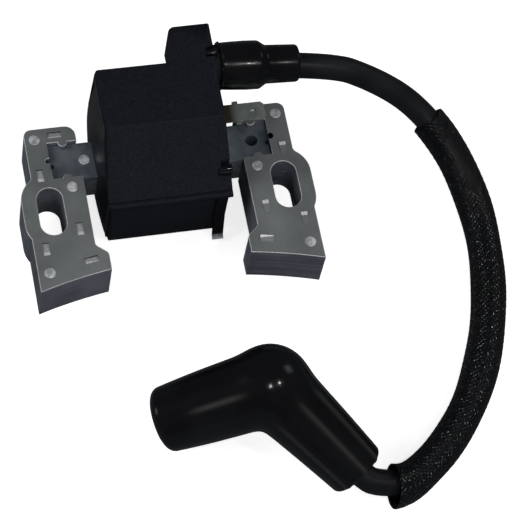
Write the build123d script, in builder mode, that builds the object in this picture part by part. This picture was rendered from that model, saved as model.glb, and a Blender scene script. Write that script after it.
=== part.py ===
"""Ignition coil module for a small engine: laminated two-leg core, potted coil case, plug lead and boot.

Frame: X across the two legs, Y from the pole faces back to the lead tower, Z up from the surface
the module stands on. The origin is under the middle of the module without its lead.
"""
from build123d import *
from math import cos, pi, radians, sin, sqrt, tan
import os

os.makedirs("parts", exist_ok=True)

# ---------------------------------------------------------------- driving dimensions, mm
SLOT_X = 38.0            # half the spacing of the two mounting slots
SLOT_Y = -11.6
SLOT_WIDTH = 8.4
SLOT_LENGTH = 16.8
LOBE_RADIUS = 9.0        # wall of the leg round its slot
LEG_BOTTOM = 8.6
LEG_STACK = 16.4         # 33 steel laminations of about 0.5 mm
LEG_TOP = LEG_BOTTOM + LEG_STACK
POLE_RADIUS = 161.0      # the pole faces follow the flywheel's rim
POLE_CENTRE_Y = -193.6

CORE_END_X = 35.7
CORE_FRONT_Y = -0.2
CORE_BACK_Y = 12.7
CORE_BOTTOM = 10.7
CORE_TOP = 22.9
CORE_Y = (CORE_FRONT_Y + CORE_BACK_Y) / 2
CORE_Z = (CORE_BOTTOM + CORE_TOP) / 2
CORE_WIDTH = CORE_BACK_Y - CORE_FRONT_Y
CORE_HEIGHT = CORE_TOP - CORE_BOTTOM

WALL = 1.6
CASE_TOP = 44.5
SEAM_Z = 24.6            # the cover's lip meets the lower housing here
CAVITY_RIGHT_X = 17.7
CAVITY_FRONT_Y = -11.3
CAVITY_BACK_Y = 25.0
CASE_LEFT_X = -19.3      # open side, closed by the potting
RIDGE_Y = 5.2            # the top plane meets the sloping front here
SLOPE_FOOT_Y = -12.7
SLOPE_FOOT_Z = 27.5
TOWER_BACK_Y = 39.2

LEAD_RADIUS = 4.2
CONDUCTOR_RADIUS = 1.1
SLEEVE_RADIUS = 5.7
SLEEVE_BORE_RADIUS = 5.1


def along(start, direction, distance):
    """Point at a distance from start along a direction."""
    return Vector(*start) + Vector(*direction).normalized() * distance


# The lead tower points right, a little forward and a little down.
TOWER_ROOT = Vector(21.3, 27.7, 36.3)
TOWER_YAW = radians(2.5)
TOWER_DROOP = radians(3.0)
TOWER_AXIS = Vector(cos(TOWER_YAW) * cos(TOWER_DROOP), -sin(TOWER_YAW) * cos(TOWER_DROOP), -sin(TOWER_DROOP))
TOWER_DEPTH = 8.0        # how far the lead goes in behind the tower's root
SPIGOT_LENGTH = 13.0
SPIGOT_RADIUS = 5.6

# The boot stands on the rims of its two mouths, with its elbow raised between them.
ELBOW = Vector(19.4, -80.5, 25.0)
ARM_MOUTH = Vector(43.9, -107.1, 9.6)
BARREL_MOUTH = Vector(-14.3, -81.2, 9.8)
ARM_AXIS = (ARM_MOUTH - ELBOW).normalized()
BARREL_AXIS = (BARREL_MOUTH - ELBOW).normalized()
ARM_LENGTH = (ARM_MOUTH - ELBOW).length
BARREL_LENGTH = (BARREL_MOUTH - ELBOW).length

# ---------------------------------------------------------------- laminated core and legs
RIVET_PLACES = [(39.5, 14.4), (30.0, -3.8), (41.8, -33.0)]
RIVET_SHANK_RADIUS = 1.4
RIVET_HEAD_RADIUS = 1.8
RIVET_HEAD_HEIGHT = 0.2
INTERLOCK_LENGTH = 4.4
INTERLOCK_WIDTH = 2.1
# (x, y, turn in degrees) of each pressed interlock
INTERLOCK_PLACES = [(33.0, 15.5, 0), (39.6, 1.4, 90), (30.1, -18.85, 90), (41.7, -24.6, 90), (28.2, -30.1, -9)]
KEY_RADIUS = 1.5         # two round keys on the notch's long edges hold the core
KEY_PLACES = [(30.75, 12.55), (31.0, -0.5)]
KEY_CLEARANCE = 0.05

with BuildPart() as leg_blank:
    with BuildSketch(Plane.XY.offset(LEG_BOTTOM)) as leg_outline:
        with BuildLine():
            FilletPolyline(
                (26.15, 18.3),
                (42.75, 18.3),
                (42.75, -7.35),
                (45.6, -15.85),
                (45.6, -42.0),
                (22.4, -42.0),
                (22.4, -28.3),
                (26.15, -25.1),
                radius=[3.5, 2.5, 0.5, 0.5, 0.5, 0.5, 2.0, 1.5],
                close=True,
            )
        make_face()
        with Locations((SLOT_X, SLOT_Y)):
            SlotOverall(SLOT_LENGTH + 2 * LOBE_RADIUS - SLOT_WIDTH, 2 * LOBE_RADIUS, rotation=90)
        with Locations((30.0, (CORE_FRONT_Y + CORE_BACK_Y) / 2)):
            Rectangle(2 * (CORE_END_X - 30.0) + 0.1, CORE_WIDTH + 0.1, mode=Mode.SUBTRACT)
        with Locations(*KEY_PLACES):
            Circle(KEY_RADIUS)
        with Locations((SLOT_X, SLOT_Y)):
            SlotOverall(SLOT_LENGTH, SLOT_WIDTH, rotation=90, mode=Mode.SUBTRACT)
        with Locations(*RIVET_PLACES):
            Circle(RIVET_SHANK_RADIUS, mode=Mode.SUBTRACT)
        with Locations((36.3, 6.4)):
            Circle(0.9, mode=Mode.SUBTRACT)
        with Locations((0, POLE_CENTRE_Y)):
            Circle(POLE_RADIUS, mode=Mode.SUBTRACT)
        fillet(leg_outline.vertices().sort_by_distance((42.75, 0.2, LEG_BOTTOM))[0], 2.0)
    extrude(amount=LEG_STACK)


def interlock_sketch(side):
    """Rectangles of the pressed interlocks of one leg; side is +1 right, -1 left."""
    for x, y, turn in INTERLOCK_PLACES:
        with Locations((side * x, y)):
            Rectangle(INTERLOCK_LENGTH, INTERLOCK_WIDTH, rotation=side * turn)


with BuildPart() as right_leg:
    add(leg_blank.part)
    with BuildSketch(Plane.XY.offset(LEG_TOP)):
        interlock_sketch(1)
    extrude(amount=0.25)
    with BuildSketch(Plane.XY.offset(LEG_BOTTOM)):
        interlock_sketch(1)
    extrude(amount=0.35, mode=Mode.SUBTRACT)
right_leg.part.label = "right_leg"
export_step(right_leg.part, "parts/right_leg.step")

with BuildPart() as left_leg:
    mirror(leg_blank.part, about=Plane.YZ)
    with BuildSketch(Plane.XY.offset(LEG_TOP)):
        interlock_sketch(-1)
    extrude(amount=-0.45, mode=Mode.SUBTRACT)
left_leg.part.label = "left_leg"
export_step(left_leg.part, "parts/left_leg.step")


def leg_rivets(side):
    """Three rivets through a leg, their round heads just proud of its top."""
    with BuildPart() as rivets:
        with BuildSketch(Plane.XY.offset(LEG_BOTTOM)):
            with Locations(*[(side * x, y) for x, y in RIVET_PLACES]):
                Circle(RIVET_SHANK_RADIUS)
        extrude(amount=LEG_STACK)
        with BuildSketch(Plane.XY.offset(LEG_TOP)):
            with Locations(*[(side * x, y) for x, y in RIVET_PLACES]):
                Circle(RIVET_HEAD_RADIUS)
        extrude(amount=RIVET_HEAD_HEIGHT)
        chamfer(rivets.faces().group_by(Axis.Z)[-1].edges(), 0.1)
    return rivets


right_leg_rivets = leg_rivets(1)
right_leg_rivets.part.label = "right_leg_rivets"
export_step(right_leg_rivets.part, "parts/right_leg_rivets.step")

left_leg_rivets = leg_rivets(-1)
left_leg_rivets.part.label = "left_leg_rivets"
export_step(left_leg_rivets.part, "parts/left_leg_rivets.step")

CORE_RIVET_PLACE = (-24.5, 6.5)
CORE_RIVET_RADIUS = 1.4
CORE_HOLE_PLACE = (30.3, 6.5)
CORE_HOLE_RADIUS = 2.0

with BuildPart() as core_bar:
    with BuildSketch(Plane.XY.offset(CORE_BOTTOM)):
        with Locations((0, CORE_Y)):
            Rectangle(2 * CORE_END_X, CORE_WIDTH)
        for side in (-1, 1):
            with Locations(*[(side * x, y) for x, y in KEY_PLACES]):
                Circle(KEY_RADIUS + KEY_CLEARANCE, mode=Mode.SUBTRACT)
            with Locations((side * 35.4, 5.2)):
                Circle(0.9, mode=Mode.SUBTRACT)
        with Locations(CORE_RIVET_PLACE):
            Circle(CORE_RIVET_RADIUS, mode=Mode.SUBTRACT)
        with Locations(CORE_HOLE_PLACE):
            Circle(CORE_HOLE_RADIUS, mode=Mode.SUBTRACT)
    extrude(amount=CORE_HEIGHT)
core_bar.part.label = "core_bar"
export_step(core_bar.part, "parts/core_bar.step")

with BuildPart() as core_rivet:
    with BuildSketch(Plane.XY.offset(CORE_BOTTOM)):
        with Locations(CORE_RIVET_PLACE):
            Circle(CORE_RIVET_RADIUS)
    extrude(amount=CORE_HEIGHT)
    with BuildSketch(Plane.XY.offset(CORE_TOP)):
        with Locations(CORE_RIVET_PLACE):
            Circle(RIVET_HEAD_RADIUS)
    extrude(amount=RIVET_HEAD_HEIGHT)
    chamfer(core_rivet.faces().group_by(Axis.Z)[-1].edges(), 0.1)
core_rivet.part.label = "core_rivet"
export_step(core_rivet.part, "parts/core_rivet.step")

# ---------------------------------------------------------------- case cover with its lead tower
COVER_HALF_WIDTH = 20.2  # at the seam; the walls lean in towards the top
COVER_FRONT_Y = -13.4
COVER_BACK_Y = 27.3
COVER_DRAFT = 2.6
SLOPE_RUN = RIDGE_Y - SLOPE_FOOT_Y
SLOPE_RISE = CASE_TOP - SLOPE_FOOT_Z
SLOPE_LENGTH = sqrt(SLOPE_RUN**2 + SLOPE_RISE**2)
# The slope's inner face, one wall thickness inside it, meets z on this Y
INNER_RIDGE_Y = RIDGE_Y + WALL * SLOPE_RISE / SLOPE_LENGTH
INNER_RIDGE_Z = CASE_TOP - WALL * SLOPE_RUN / SLOPE_LENGTH
CAVITY_TOP = CASE_TOP - WALL
CAVITY_RIDGE_Y = INNER_RIDGE_Y - (INNER_RIDGE_Z - CAVITY_TOP) * SLOPE_RUN / SLOPE_RISE
CAVITY_SLOPE_FOOT_Z = INNER_RIDGE_Z - (INNER_RIDGE_Y - CAVITY_FRONT_Y) * SLOPE_RISE / SLOPE_RUN
CAVITY_LEFT_X = -30.0    # past the open side
TOWER_BLOCK_LEFT_X = 6.3
TOWER_BLOCK_RIGHT_X = 20.0
TOWER_BLOCK_BOTTOM = 30.5
TERMINAL_Z = 29.6
TERMINAL_THICKNESS = 0.8
TERMINAL_Y = 13.3
TERMINAL_WIDTH = 6.3

with BuildPart() as cover_cavity:
    with BuildSketch(Plane.YZ.offset(CAVITY_LEFT_X)):
        with BuildLine():
            Polyline(
                (CAVITY_BACK_Y, SEAM_Z),
                (CAVITY_BACK_Y, CAVITY_TOP),
                (CAVITY_RIDGE_Y, CAVITY_TOP),
                (CAVITY_FRONT_Y, CAVITY_SLOPE_FOOT_Z),
                (CAVITY_FRONT_Y, SEAM_Z),
                close=True,
            )
        make_face()
    extrude(amount=CAVITY_RIGHT_X - CAVITY_LEFT_X)

# Planes across the tower's axis, and one that holds it for revolved profiles
TOWER_PLANE = Plane(origin=TOWER_ROOT, x_dir=(0, 1, 0), z_dir=TOWER_AXIS)
TOWER_SIDE = Plane(origin=TOWER_ROOT, x_dir=TOWER_AXIS, z_dir=TOWER_AXIS.cross(Vector(0, 0, 1)))

# Rounded lip along the cover's front, over the housing
LIP_FRONT_Y = -14.1
LIP_HEIGHT = 2.0

with BuildPart() as lip:
    with BuildSketch(Plane.XY.offset(SEAM_Z)) as lip_base:
        with Locations((0, LIP_FRONT_Y + 1.6)):
            Rectangle(2 * COVER_HALF_WIDTH, 3.2)
        fillet(lip_base.vertices().group_by(Axis.Y)[0].group_by(Axis.X)[0], 2.0)
    extrude(amount=LIP_HEIGHT)
    fillet(lip.faces().sort_by(Axis.Z)[-1].edges().filter_by(Axis.X).sort_by(Axis.Y)[0], 0.9)

with BuildPart() as case_cover:
    with BuildSketch(Plane.XY.offset(SEAM_Z)) as cover_base:
        with Locations((0, (COVER_FRONT_Y + COVER_BACK_Y) / 2)):
            Rectangle(2 * COVER_HALF_WIDTH, COVER_BACK_Y - COVER_FRONT_Y)
        fillet(cover_base.vertices().group_by(Axis.X)[0], 2.2)
        fillet(cover_base.vertices().group_by(Axis.X)[-1], 0.5)
    extrude(amount=CASE_TOP - SEAM_Z, taper=COVER_DRAFT)
    # the sloping front, cut down to a short upright above the lip
    with BuildSketch(Plane.YZ.offset(-25)):
        with BuildLine():
            Polyline(
                (RIDGE_Y, CASE_TOP),
                (SLOPE_FOOT_Y, SLOPE_FOOT_Z),
                (SLOPE_FOOT_Y, SEAM_Z - 1),
                (-30, SEAM_Z - 1),
                (-30, CASE_TOP + 12),
                (RIDGE_Y, CASE_TOP + 12),
                close=True,
            )
        make_face()
    extrude(amount=50, mode=Mode.SUBTRACT)
    add(lip.part)
    # tower block, flush with the top
    with BuildSketch(Plane.XY.offset(TOWER_BLOCK_BOTTOM)) as block:
        with BuildLine():
            Polyline(
                (TOWER_BLOCK_LEFT_X, CAVITY_BACK_Y + 0.8),
                (TOWER_BLOCK_LEFT_X, TOWER_BACK_Y),
                (TOWER_BLOCK_RIGHT_X, TOWER_BACK_Y),
                (TOWER_BLOCK_RIGHT_X, CAVITY_BACK_Y + 0.8),
                close=True,
            )
        make_face()
        fillet(block.vertices().group_by(Axis.Y)[-1].group_by(Axis.X)[0], 2.5)
        fillet(block.vertices().group_by(Axis.Y)[-1].group_by(Axis.X)[-1], 0.6)
    extrude(amount=CASE_TOP - TOWER_BLOCK_BOTTOM)
    add(cover_cavity.part, mode=Mode.SUBTRACT)
    # round boss, spigot and the wall round the lead's bore
    with BuildSketch(TOWER_PLANE.offset(-3.0)):
        Circle(7.0)
    extrude(amount=3.0)
    with BuildSketch(TOWER_PLANE.offset(-TOWER_DEPTH - 3.0)):
        Circle(SPIGOT_RADIUS)
    extrude(amount=TOWER_DEPTH + 3.0 + SPIGOT_LENGTH)
    with BuildSketch(TOWER_PLANE.offset(-TOWER_DEPTH)):
        Circle(LEAD_RADIUS + 0.2)
    extrude(amount=TOWER_DEPTH + SPIGOT_LENGTH + 1.0, mode=Mode.SUBTRACT)
    # two windows for the housing's latches
    with BuildSketch(Plane.XY.offset(30.6)):
        with Locations((18.9, -7.35)):
            Rectangle(4.6, 3.7)
    extrude(amount=10.0, mode=Mode.SUBTRACT)
    with BuildSketch(Plane.XY.offset(41.0)):
        with Locations((19.0, 28.9)):
            Rectangle(3.6, 4.0)
    extrude(amount=10.0, mode=Mode.SUBTRACT)
    # slit for the blade terminal
    with BuildSketch(Plane.XY.offset(TERMINAL_Z)):
        with Locations((19.0, TERMINAL_Y)):
            Rectangle(6.0, TERMINAL_WIDTH)
    extrude(amount=TERMINAL_THICKNESS, mode=Mode.SUBTRACT)

# ---------------------------------------------------------------- lower housing
HOUSING_FRONT_Y = -12.9
HOUSING_BACK_Y = 26.4
HOUSING_RIGHT_X = 19.4

with BuildPart() as coil_housing:
    with BuildSketch() as housing_base:
        with BuildLine():
            Polyline(
                (CASE_LEFT_X, HOUSING_FRONT_Y),
                (HOUSING_RIGHT_X, HOUSING_FRONT_Y),
                (HOUSING_RIGHT_X, HOUSING_BACK_Y),
                (CASE_LEFT_X, HOUSING_BACK_Y),
                close=True,
            )
        make_face()
        fillet(housing_base.vertices().group_by(Axis.X)[-1], 1.0)
        fillet(housing_base.vertices().group_by(Axis.X)[0], 1.4)
    extrude(amount=SEAM_Z)
    front_bottom_edge = coil_housing.edges().filter_by(Axis.X).sort_by_distance((0, HOUSING_FRONT_Y, 0))[0]
    chamfer(front_bottom_edge, length=4.6, length2=0.9, reference=coil_housing.faces().sort_by(Axis.Y)[0])
    with BuildSketch(Plane.XY.offset(WALL)):
        with Locations(((CAVITY_LEFT_X + CAVITY_RIGHT_X) / 2, (CAVITY_FRONT_Y + CAVITY_BACK_Y) / 2)):
            Rectangle(CAVITY_RIGHT_X - CAVITY_LEFT_X, CAVITY_BACK_Y - CAVITY_FRONT_Y)
    extrude(amount=SEAM_Z, mode=Mode.SUBTRACT)
    # opening in the right wall for the core
    with BuildSketch(Plane.YZ.offset(10)):
        with Locations((CORE_Y, CORE_Z)):
            Rectangle(CORE_WIDTH, CORE_HEIGHT)
    extrude(amount=12, mode=Mode.SUBTRACT)
    # front latch: a post up the right wall with a rounded nose in the cover's window
    with BuildSketch(Plane.XY.offset(10.0)):
        with Locations((16.7, -7.35)):
            Rectangle(2.0, 3.2)
    extrude(amount=22.4)
    with BuildSketch(Plane.XY.offset(30.9)):
        with Locations((18.0, -7.35)):
            Rectangle(4.4, 3.2)
    extrude(amount=1.6)
    # rear latch: a post inside the back wall
    with BuildSketch(Plane.XY.offset(WALL)):
        with Locations((16.4, 24.0)):
            Rectangle(2.4, 2.0)
    extrude(amount=26.0)

# ---------------------------------------------------------------- blade terminal and ground clip
TERMINAL_TIP_X = 35.2
TERMINAL_ROOT_X = 15.2

with BuildPart() as blade_terminal:
    with BuildSketch(Plane.XY.offset(TERMINAL_Z)) as blade:
        with Locations(((TERMINAL_ROOT_X + TERMINAL_TIP_X) / 2, TERMINAL_Y)):
            Rectangle(TERMINAL_TIP_X - TERMINAL_ROOT_X, TERMINAL_WIDTH)
        chamfer(blade.vertices().group_by(Axis.X)[-1], 1.0)
        with Locations((25.9, TERMINAL_Y)):
            Rectangle(1.8, TERMINAL_WIDTH + 2.0)
        with Locations((31.3, TERMINAL_Y)):
            Circle(0.95, mode=Mode.SUBTRACT)
    extrude(amount=TERMINAL_THICKNESS)
    chamfer(blade_terminal.edges().filter_by(Axis.Y).group_by(Axis.X)[-1], 0.25)
blade_terminal.part.label = "blade_terminal"
export_step(blade_terminal.part, "parts/blade_terminal.step")

CLIP_WIDTH = 3.6
CLIP_LEFT_X = 15.2
CLIP_THICKNESS = 1.0

with BuildPart() as ground_clip:
    with BuildSketch(Plane.YZ.offset(CLIP_LEFT_X)):
        with BuildLine():
            Polyline(
                (HOUSING_FRONT_Y, SEAM_Z),
                (HOUSING_FRONT_Y, 13.0),
                (HOUSING_FRONT_Y - 2.2, 2.4),
                (HOUSING_FRONT_Y - 3.9, 1.4),
                (HOUSING_FRONT_Y - 4.3, 2.2),
                (HOUSING_FRONT_Y - 3.0, 3.1),
                (HOUSING_FRONT_Y - CLIP_THICKNESS, 13.1),
                (HOUSING_FRONT_Y - CLIP_THICKNESS, SEAM_Z),
                close=True,
            )
        make_face()
    extrude(amount=CLIP_WIDTH)
ground_clip.part.label = "ground_clip"
export_step(ground_clip.part, "parts/ground_clip.step")

# ---------------------------------------------------------------- windings on their bobbins
BOBBIN_WALL = 1.0
PRIMARY_BUILD = 2.0
SECONDARY_BUILD = 3.5
PRIMARY_LEFT_X = -17.4
PRIMARY_RIGHT_X = 16.6
PRIMARY_FLANGE = 1.2
SECONDARY_LEFT_X = -15.6
SECONDARY_RIGHT_X = 14.8
SECONDARY_SECTIONS = 4
FLANGE_THICKNESS = 1.0


def ring_sketch(margin, bore_margin, corner):
    """Rounded rectangular ring round the core: outer and inner margins from the core's sides."""
    with Locations((CORE_Y, CORE_Z)):
        RectangleRounded(CORE_WIDTH + 2 * margin, CORE_HEIGHT + 2 * margin, corner)
        if bore_margin > 0:
            RectangleRounded(
                CORE_WIDTH + 2 * bore_margin, CORE_HEIGHT + 2 * bore_margin, 1.0, mode=Mode.SUBTRACT
            )
        else:
            Rectangle(CORE_WIDTH, CORE_HEIGHT, mode=Mode.SUBTRACT)


PRIMARY_OUTER = BOBBIN_WALL + PRIMARY_BUILD
SECONDARY_INNER = PRIMARY_OUTER + BOBBIN_WALL
SECONDARY_OUTER = SECONDARY_INNER + SECONDARY_BUILD
SECONDARY_PITCH = (SECONDARY_RIGHT_X - SECONDARY_LEFT_X - FLANGE_THICKNESS) / SECONDARY_SECTIONS

with BuildPart() as primary_bobbin:
    with BuildSketch(Plane.YZ.offset(PRIMARY_LEFT_X)):
        ring_sketch(BOBBIN_WALL, 0, 1.0)
    extrude(amount=PRIMARY_RIGHT_X - PRIMARY_LEFT_X)
    for flange_x in (PRIMARY_LEFT_X, PRIMARY_RIGHT_X - PRIMARY_FLANGE):
        with BuildSketch(Plane.YZ.offset(flange_x)):
            ring_sketch(PRIMARY_OUTER + 0.6, 0, 2.0)
        extrude(amount=PRIMARY_FLANGE)
primary_bobbin.part.label = "primary_bobbin"
export_step(primary_bobbin.part, "parts/primary_bobbin.step")

with BuildPart() as primary_winding:
    with BuildSketch(Plane.YZ.offset(PRIMARY_LEFT_X + PRIMARY_FLANGE)):
        ring_sketch(PRIMARY_OUTER, BOBBIN_WALL, 1.0)
    extrude(amount=PRIMARY_RIGHT_X - PRIMARY_LEFT_X - 2 * PRIMARY_FLANGE)
primary_winding.part.label = "primary_winding"
export_step(primary_winding.part, "parts/primary_winding.step")

with BuildPart() as secondary_bobbin:
    with BuildSketch(Plane.YZ.offset(SECONDARY_LEFT_X)):
        ring_sketch(SECONDARY_INNER, PRIMARY_OUTER, 1.0)
    extrude(amount=SECONDARY_RIGHT_X - SECONDARY_LEFT_X)
    for section in range(SECONDARY_SECTIONS + 1):
        with BuildSketch(Plane.YZ.offset(SECONDARY_LEFT_X + section * SECONDARY_PITCH)):
            ring_sketch(SECONDARY_OUTER + 1.0, PRIMARY_OUTER, 7.0)
        extrude(amount=FLANGE_THICKNESS)
secondary_bobbin.part.label = "secondary_bobbin"
export_step(secondary_bobbin.part, "parts/secondary_bobbin.step")

with BuildPart() as secondary_winding:
    for section in range(SECONDARY_SECTIONS):
        start_x = SECONDARY_LEFT_X + section * SECONDARY_PITCH + FLANGE_THICKNESS
        with BuildSketch(Plane.YZ.offset(start_x)):
            ring_sketch(SECONDARY_OUTER, SECONDARY_INNER, 5.5)
        extrude(amount=SECONDARY_PITCH - FLANGE_THICKNESS)
secondary_winding.part.label = "secondary_winding"
export_step(secondary_winding.part, "parts/secondary_winding.step")

# ---------------------------------------------------------------- ignition circuit above the windings
BOARD_BOTTOM = 33.2
BOARD_TOP = BOARD_BOTTOM + 1.2

with BuildPart() as circuit_board:
    with BuildSketch(Plane.XY.offset(BOARD_BOTTOM)):
        with Locations((-2.5, 13.0)):
            Rectangle(27.0, 17.0)
    extrude(amount=BOARD_TOP - BOARD_BOTTOM)
circuit_board.part.label = "circuit_board"
export_step(circuit_board.part, "parts/circuit_board.step")

with BuildPart() as switching_transistor:
    with BuildSketch(Plane.XY.offset(BOARD_TOP)):
        with Locations((-9.0, 14.5)):
            Rectangle(10.0, 9.2)
    extrude(amount=4.4)
    with BuildSketch(Plane.XY.offset(BOARD_TOP)):
        with Locations((-9.0, 19.9)):
            Rectangle(10.0, 2.4)
    extrude(amount=1.2)
switching_transistor.part.label = "switching_transistor"
export_step(switching_transistor.part, "parts/switching_transistor.step")

with BuildPart() as capacitor:
    with BuildSketch(Plane.XY.offset(BOARD_TOP)):
        with Locations((6.0, 9.0)):
            RectangleRounded(8.0, 4.2, 0.8)
    extrude(amount=5.6)
capacitor.part.label = "capacitor"
export_step(capacitor.part, "parts/capacitor.step")

with BuildPart() as control_chip:
    with BuildSketch(Plane.XY.offset(BOARD_TOP)):
        with Locations((1.5, 16.0)):
            Rectangle(5.0, 4.0)
    extrude(amount=1.6)
control_chip.part.label = "control_chip"
export_step(control_chip.part, "parts/control_chip.step")

with BuildPart() as resistors:
    with BuildSketch(Plane.XY.offset(BOARD_TOP)):
        with Locations((7.5, 14.0), (7.5, 16.4), (7.5, 18.8)):
            Rectangle(3.2, 1.6)
    extrude(amount=0.7)
resistors.part.label = "resistors"
export_step(resistors.part, "parts/resistors.step")

# ---------------------------------------------------------------- brass contact at the tower's root
CONTACT_THICKNESS = 2.0
SPIKE_LENGTH = 5.0

with BuildPart() as hv_contact:
    with BuildSketch(TOWER_PLANE.offset(-TOWER_DEPTH)):
        Circle(3.0)
    extrude(amount=-CONTACT_THICKNESS)
    with BuildSketch(TOWER_PLANE.offset(-TOWER_DEPTH)):
        Circle(CONDUCTOR_RADIUS)
    extrude(amount=SPIKE_LENGTH)
    # tail through the tower's wall to the secondary winding
    tail_end = along(TOWER_ROOT, TOWER_AXIS, -TOWER_DEPTH - CONTACT_THICKNESS / 2)
    with BuildSketch(Plane(origin=tail_end, x_dir=(1, 0, 0), z_dir=(0, -1, 0))):
        Circle(0.7)
    extrude(amount=8.5)
hv_contact.part.label = "hv_contact"
export_step(hv_contact.part, "parts/hv_contact.step")

# The cover and housing are finished now that what passes through them is known.
with BuildPart() as finished_cover:
    add(case_cover.part)
    add(hv_contact.part, mode=Mode.SUBTRACT)
    add(coil_housing.part, mode=Mode.SUBTRACT)
finished_cover.part.label = "case_cover"
export_step(finished_cover.part, "parts/case_cover.step")

coil_housing.part.label = "coil_housing"
export_step(coil_housing.part, "parts/coil_housing.step")

# ---------------------------------------------------------------- epoxy potting
DOME_RISE = 2.3          # the cured epoxy bulges out of the open side
DOME_RADIUS = 132.0
DOME_Y = 6.4
DOME_Z = 20.0
DOME_INSET = 0.5

with BuildPart() as potting:
    with BuildSketch(Plane.YZ.offset(CASE_LEFT_X)):
        with BuildLine():
            Polyline(
                (HOUSING_BACK_Y - DOME_INSET, DOME_INSET),
                (HOUSING_BACK_Y - DOME_INSET, CASE_TOP - DOME_INSET),
                (RIDGE_Y, CASE_TOP - DOME_INSET),
                (SLOPE_FOOT_Y + DOME_INSET, SLOPE_FOOT_Z),
                (SLOPE_FOOT_Y + DOME_INSET, DOME_INSET),
                close=True,
            )
        make_face()
    extrude(amount=-8.0)
    with Locations((CASE_LEFT_X - DOME_RISE + DOME_RADIUS, DOME_Y, DOME_Z)):
        Sphere(DOME_RADIUS, mode=Mode.INTERSECT)
    # the fill of the whole case
    with BuildSketch(Plane.YZ.offset(CASE_LEFT_X)):
        with BuildLine():
            Polyline(
                (CAVITY_BACK_Y, WALL),
                (CAVITY_BACK_Y, CAVITY_TOP),
                (CAVITY_RIDGE_Y, CAVITY_TOP),
                (CAVITY_FRONT_Y, CAVITY_SLOPE_FOOT_Z),
                (CAVITY_FRONT_Y, WALL),
                close=True,
            )
        make_face()
    extrude(amount=CAVITY_RIGHT_X - CASE_LEFT_X)
    # a narrow gap is left round the core where it comes out
    with BuildSketch(Plane.YZ.offset(-25)):
        with Locations((CORE_Y, CORE_Z)):
            RectangleRounded(CORE_WIDTH + 1.8, CORE_HEIGHT + 1.6, 1.2)
    extrude(amount=25 - 18.4, mode=Mode.SUBTRACT)
    with BuildSketch(TOWER_PLANE.offset(-TOWER_DEPTH - 3.0)):
        Circle(SPIGOT_RADIUS)
    extrude(amount=TOWER_DEPTH + 3.0, mode=Mode.SUBTRACT)
    for inner in (
        finished_cover,
        coil_housing,
        core_bar,
        primary_bobbin,
        primary_winding,
        secondary_bobbin,
        secondary_winding,
        circuit_board,
        switching_transistor,
        capacitor,
        control_chip,
        resistors,
        hv_contact,
        blade_terminal,
    ):
        add(inner.part, mode=Mode.SUBTRACT)
potting.part.label = "potting"
export_step(potting.part, "parts/potting.step")

# ---------------------------------------------------------------- rubber cap over the tower
CAP_LENGTH = 26.7
CAP_SHOULDER = 13.7
CAP_NECK_START = 16.0

with BuildPart() as tower_cap:
    with BuildSketch(TOWER_SIDE):
        with BuildLine():
            Polyline(
                (0, SPIGOT_RADIUS),
                (0, 7.6),
                (CAP_SHOULDER, 7.9),
                (CAP_NECK_START, 5.9),
                (CAP_LENGTH, 5.9),
                (CAP_LENGTH, LEAD_RADIUS),
                (SPIGOT_LENGTH, LEAD_RADIUS),
                (SPIGOT_LENGTH, SPIGOT_RADIUS),
                close=True,
            )
        make_face()
    revolve(axis=Axis(TOWER_ROOT, TOWER_AXIS))
tower_cap.part.label = "tower_cap"
export_step(tower_cap.part, "parts/tower_cap.step")

# ---------------------------------------------------------------- plug lead, a free cord
LEAD_BACKOFF = 11.0      # the lead ends this far short of the elbow's middle
ROUTE = [
    along(TOWER_ROOT, TOWER_AXIS, -TOWER_DEPTH),
    along(TOWER_ROOT, TOWER_AXIS, 36.0),
    Vector(75.0, 21.2, 26.8),
    Vector(88.2, 15.2, 18.2),
    Vector(98.4, 1.6, 10.8),
    Vector(103.2, -17.0, 6.4),
    Vector(103.2, -34.5, 5.8),
    Vector(100.4, -52.0, 5.8),
    Vector(95.0, -69.5, 5.8),
    Vector(86.6, -86.5, 5.8),
    Vector(75.0, -100.5, 5.8),
    Vector(64.7, -107.9, 5.8),
    Vector(58.0, -110.8, 6.2),
    Vector(51.3, -110.6, 7.2),
    along(ARM_MOUTH, ARM_AXIS, 2.2),
    along(ELBOW, ARM_AXIS, LEAD_BACKOFF),
]


def corner_radii(points):
    """Radius at each corner: 0.45 of the shorter run, divided by the tangent of half the turn."""
    radii = []
    for before, corner, after in zip(points, points[1:], points[2:]):
        turn = radians((corner - before).get_angle(after - corner))
        shorter = min((corner - before).length, (after - corner).length)
        radii.append(0.45 * shorter / tan(turn / 2))
    return radii


def check_tube(name, piece, length, outer, bore):
    """Print the piece's volume beside its section times its length."""
    section = pi * (outer**2 - bore**2)
    print(name, "length", round(length, 1), "volume", round(piece.part.volume), "of", round(section * length))


ROUTE_RADII = corner_radii(ROUTE)
print("lead radii", [round(radius, 1) for radius in ROUTE_RADII])

with BuildPart() as hv_lead:
    with BuildLine() as lead_path:
        FilletPolyline(*ROUTE, radius=ROUTE_RADII)
    with BuildSketch(Plane(origin=ROUTE[0], z_dir=TOWER_AXIS)):
        Circle(LEAD_RADIUS)
        Circle(CONDUCTOR_RADIUS, mode=Mode.SUBTRACT)
    sweep(path=lead_path.wires()[0])
hv_lead.part.label = "hv_lead"
export_step(hv_lead.part, "parts/hv_lead.step")
check_tube("hv_lead", hv_lead, lead_path.wires()[0].length, LEAD_RADIUS, CONDUCTOR_RADIUS)

# The conductor stops short of both ends, where the spike and the boot's pin go in.
PIN_DEPTH = 5.0
conductor_route = [along(ROUTE[0], TOWER_AXIS, SPIKE_LENGTH)] + ROUTE[1:-1] + [along(ROUTE[-1], ARM_AXIS, PIN_DEPTH)]

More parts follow.
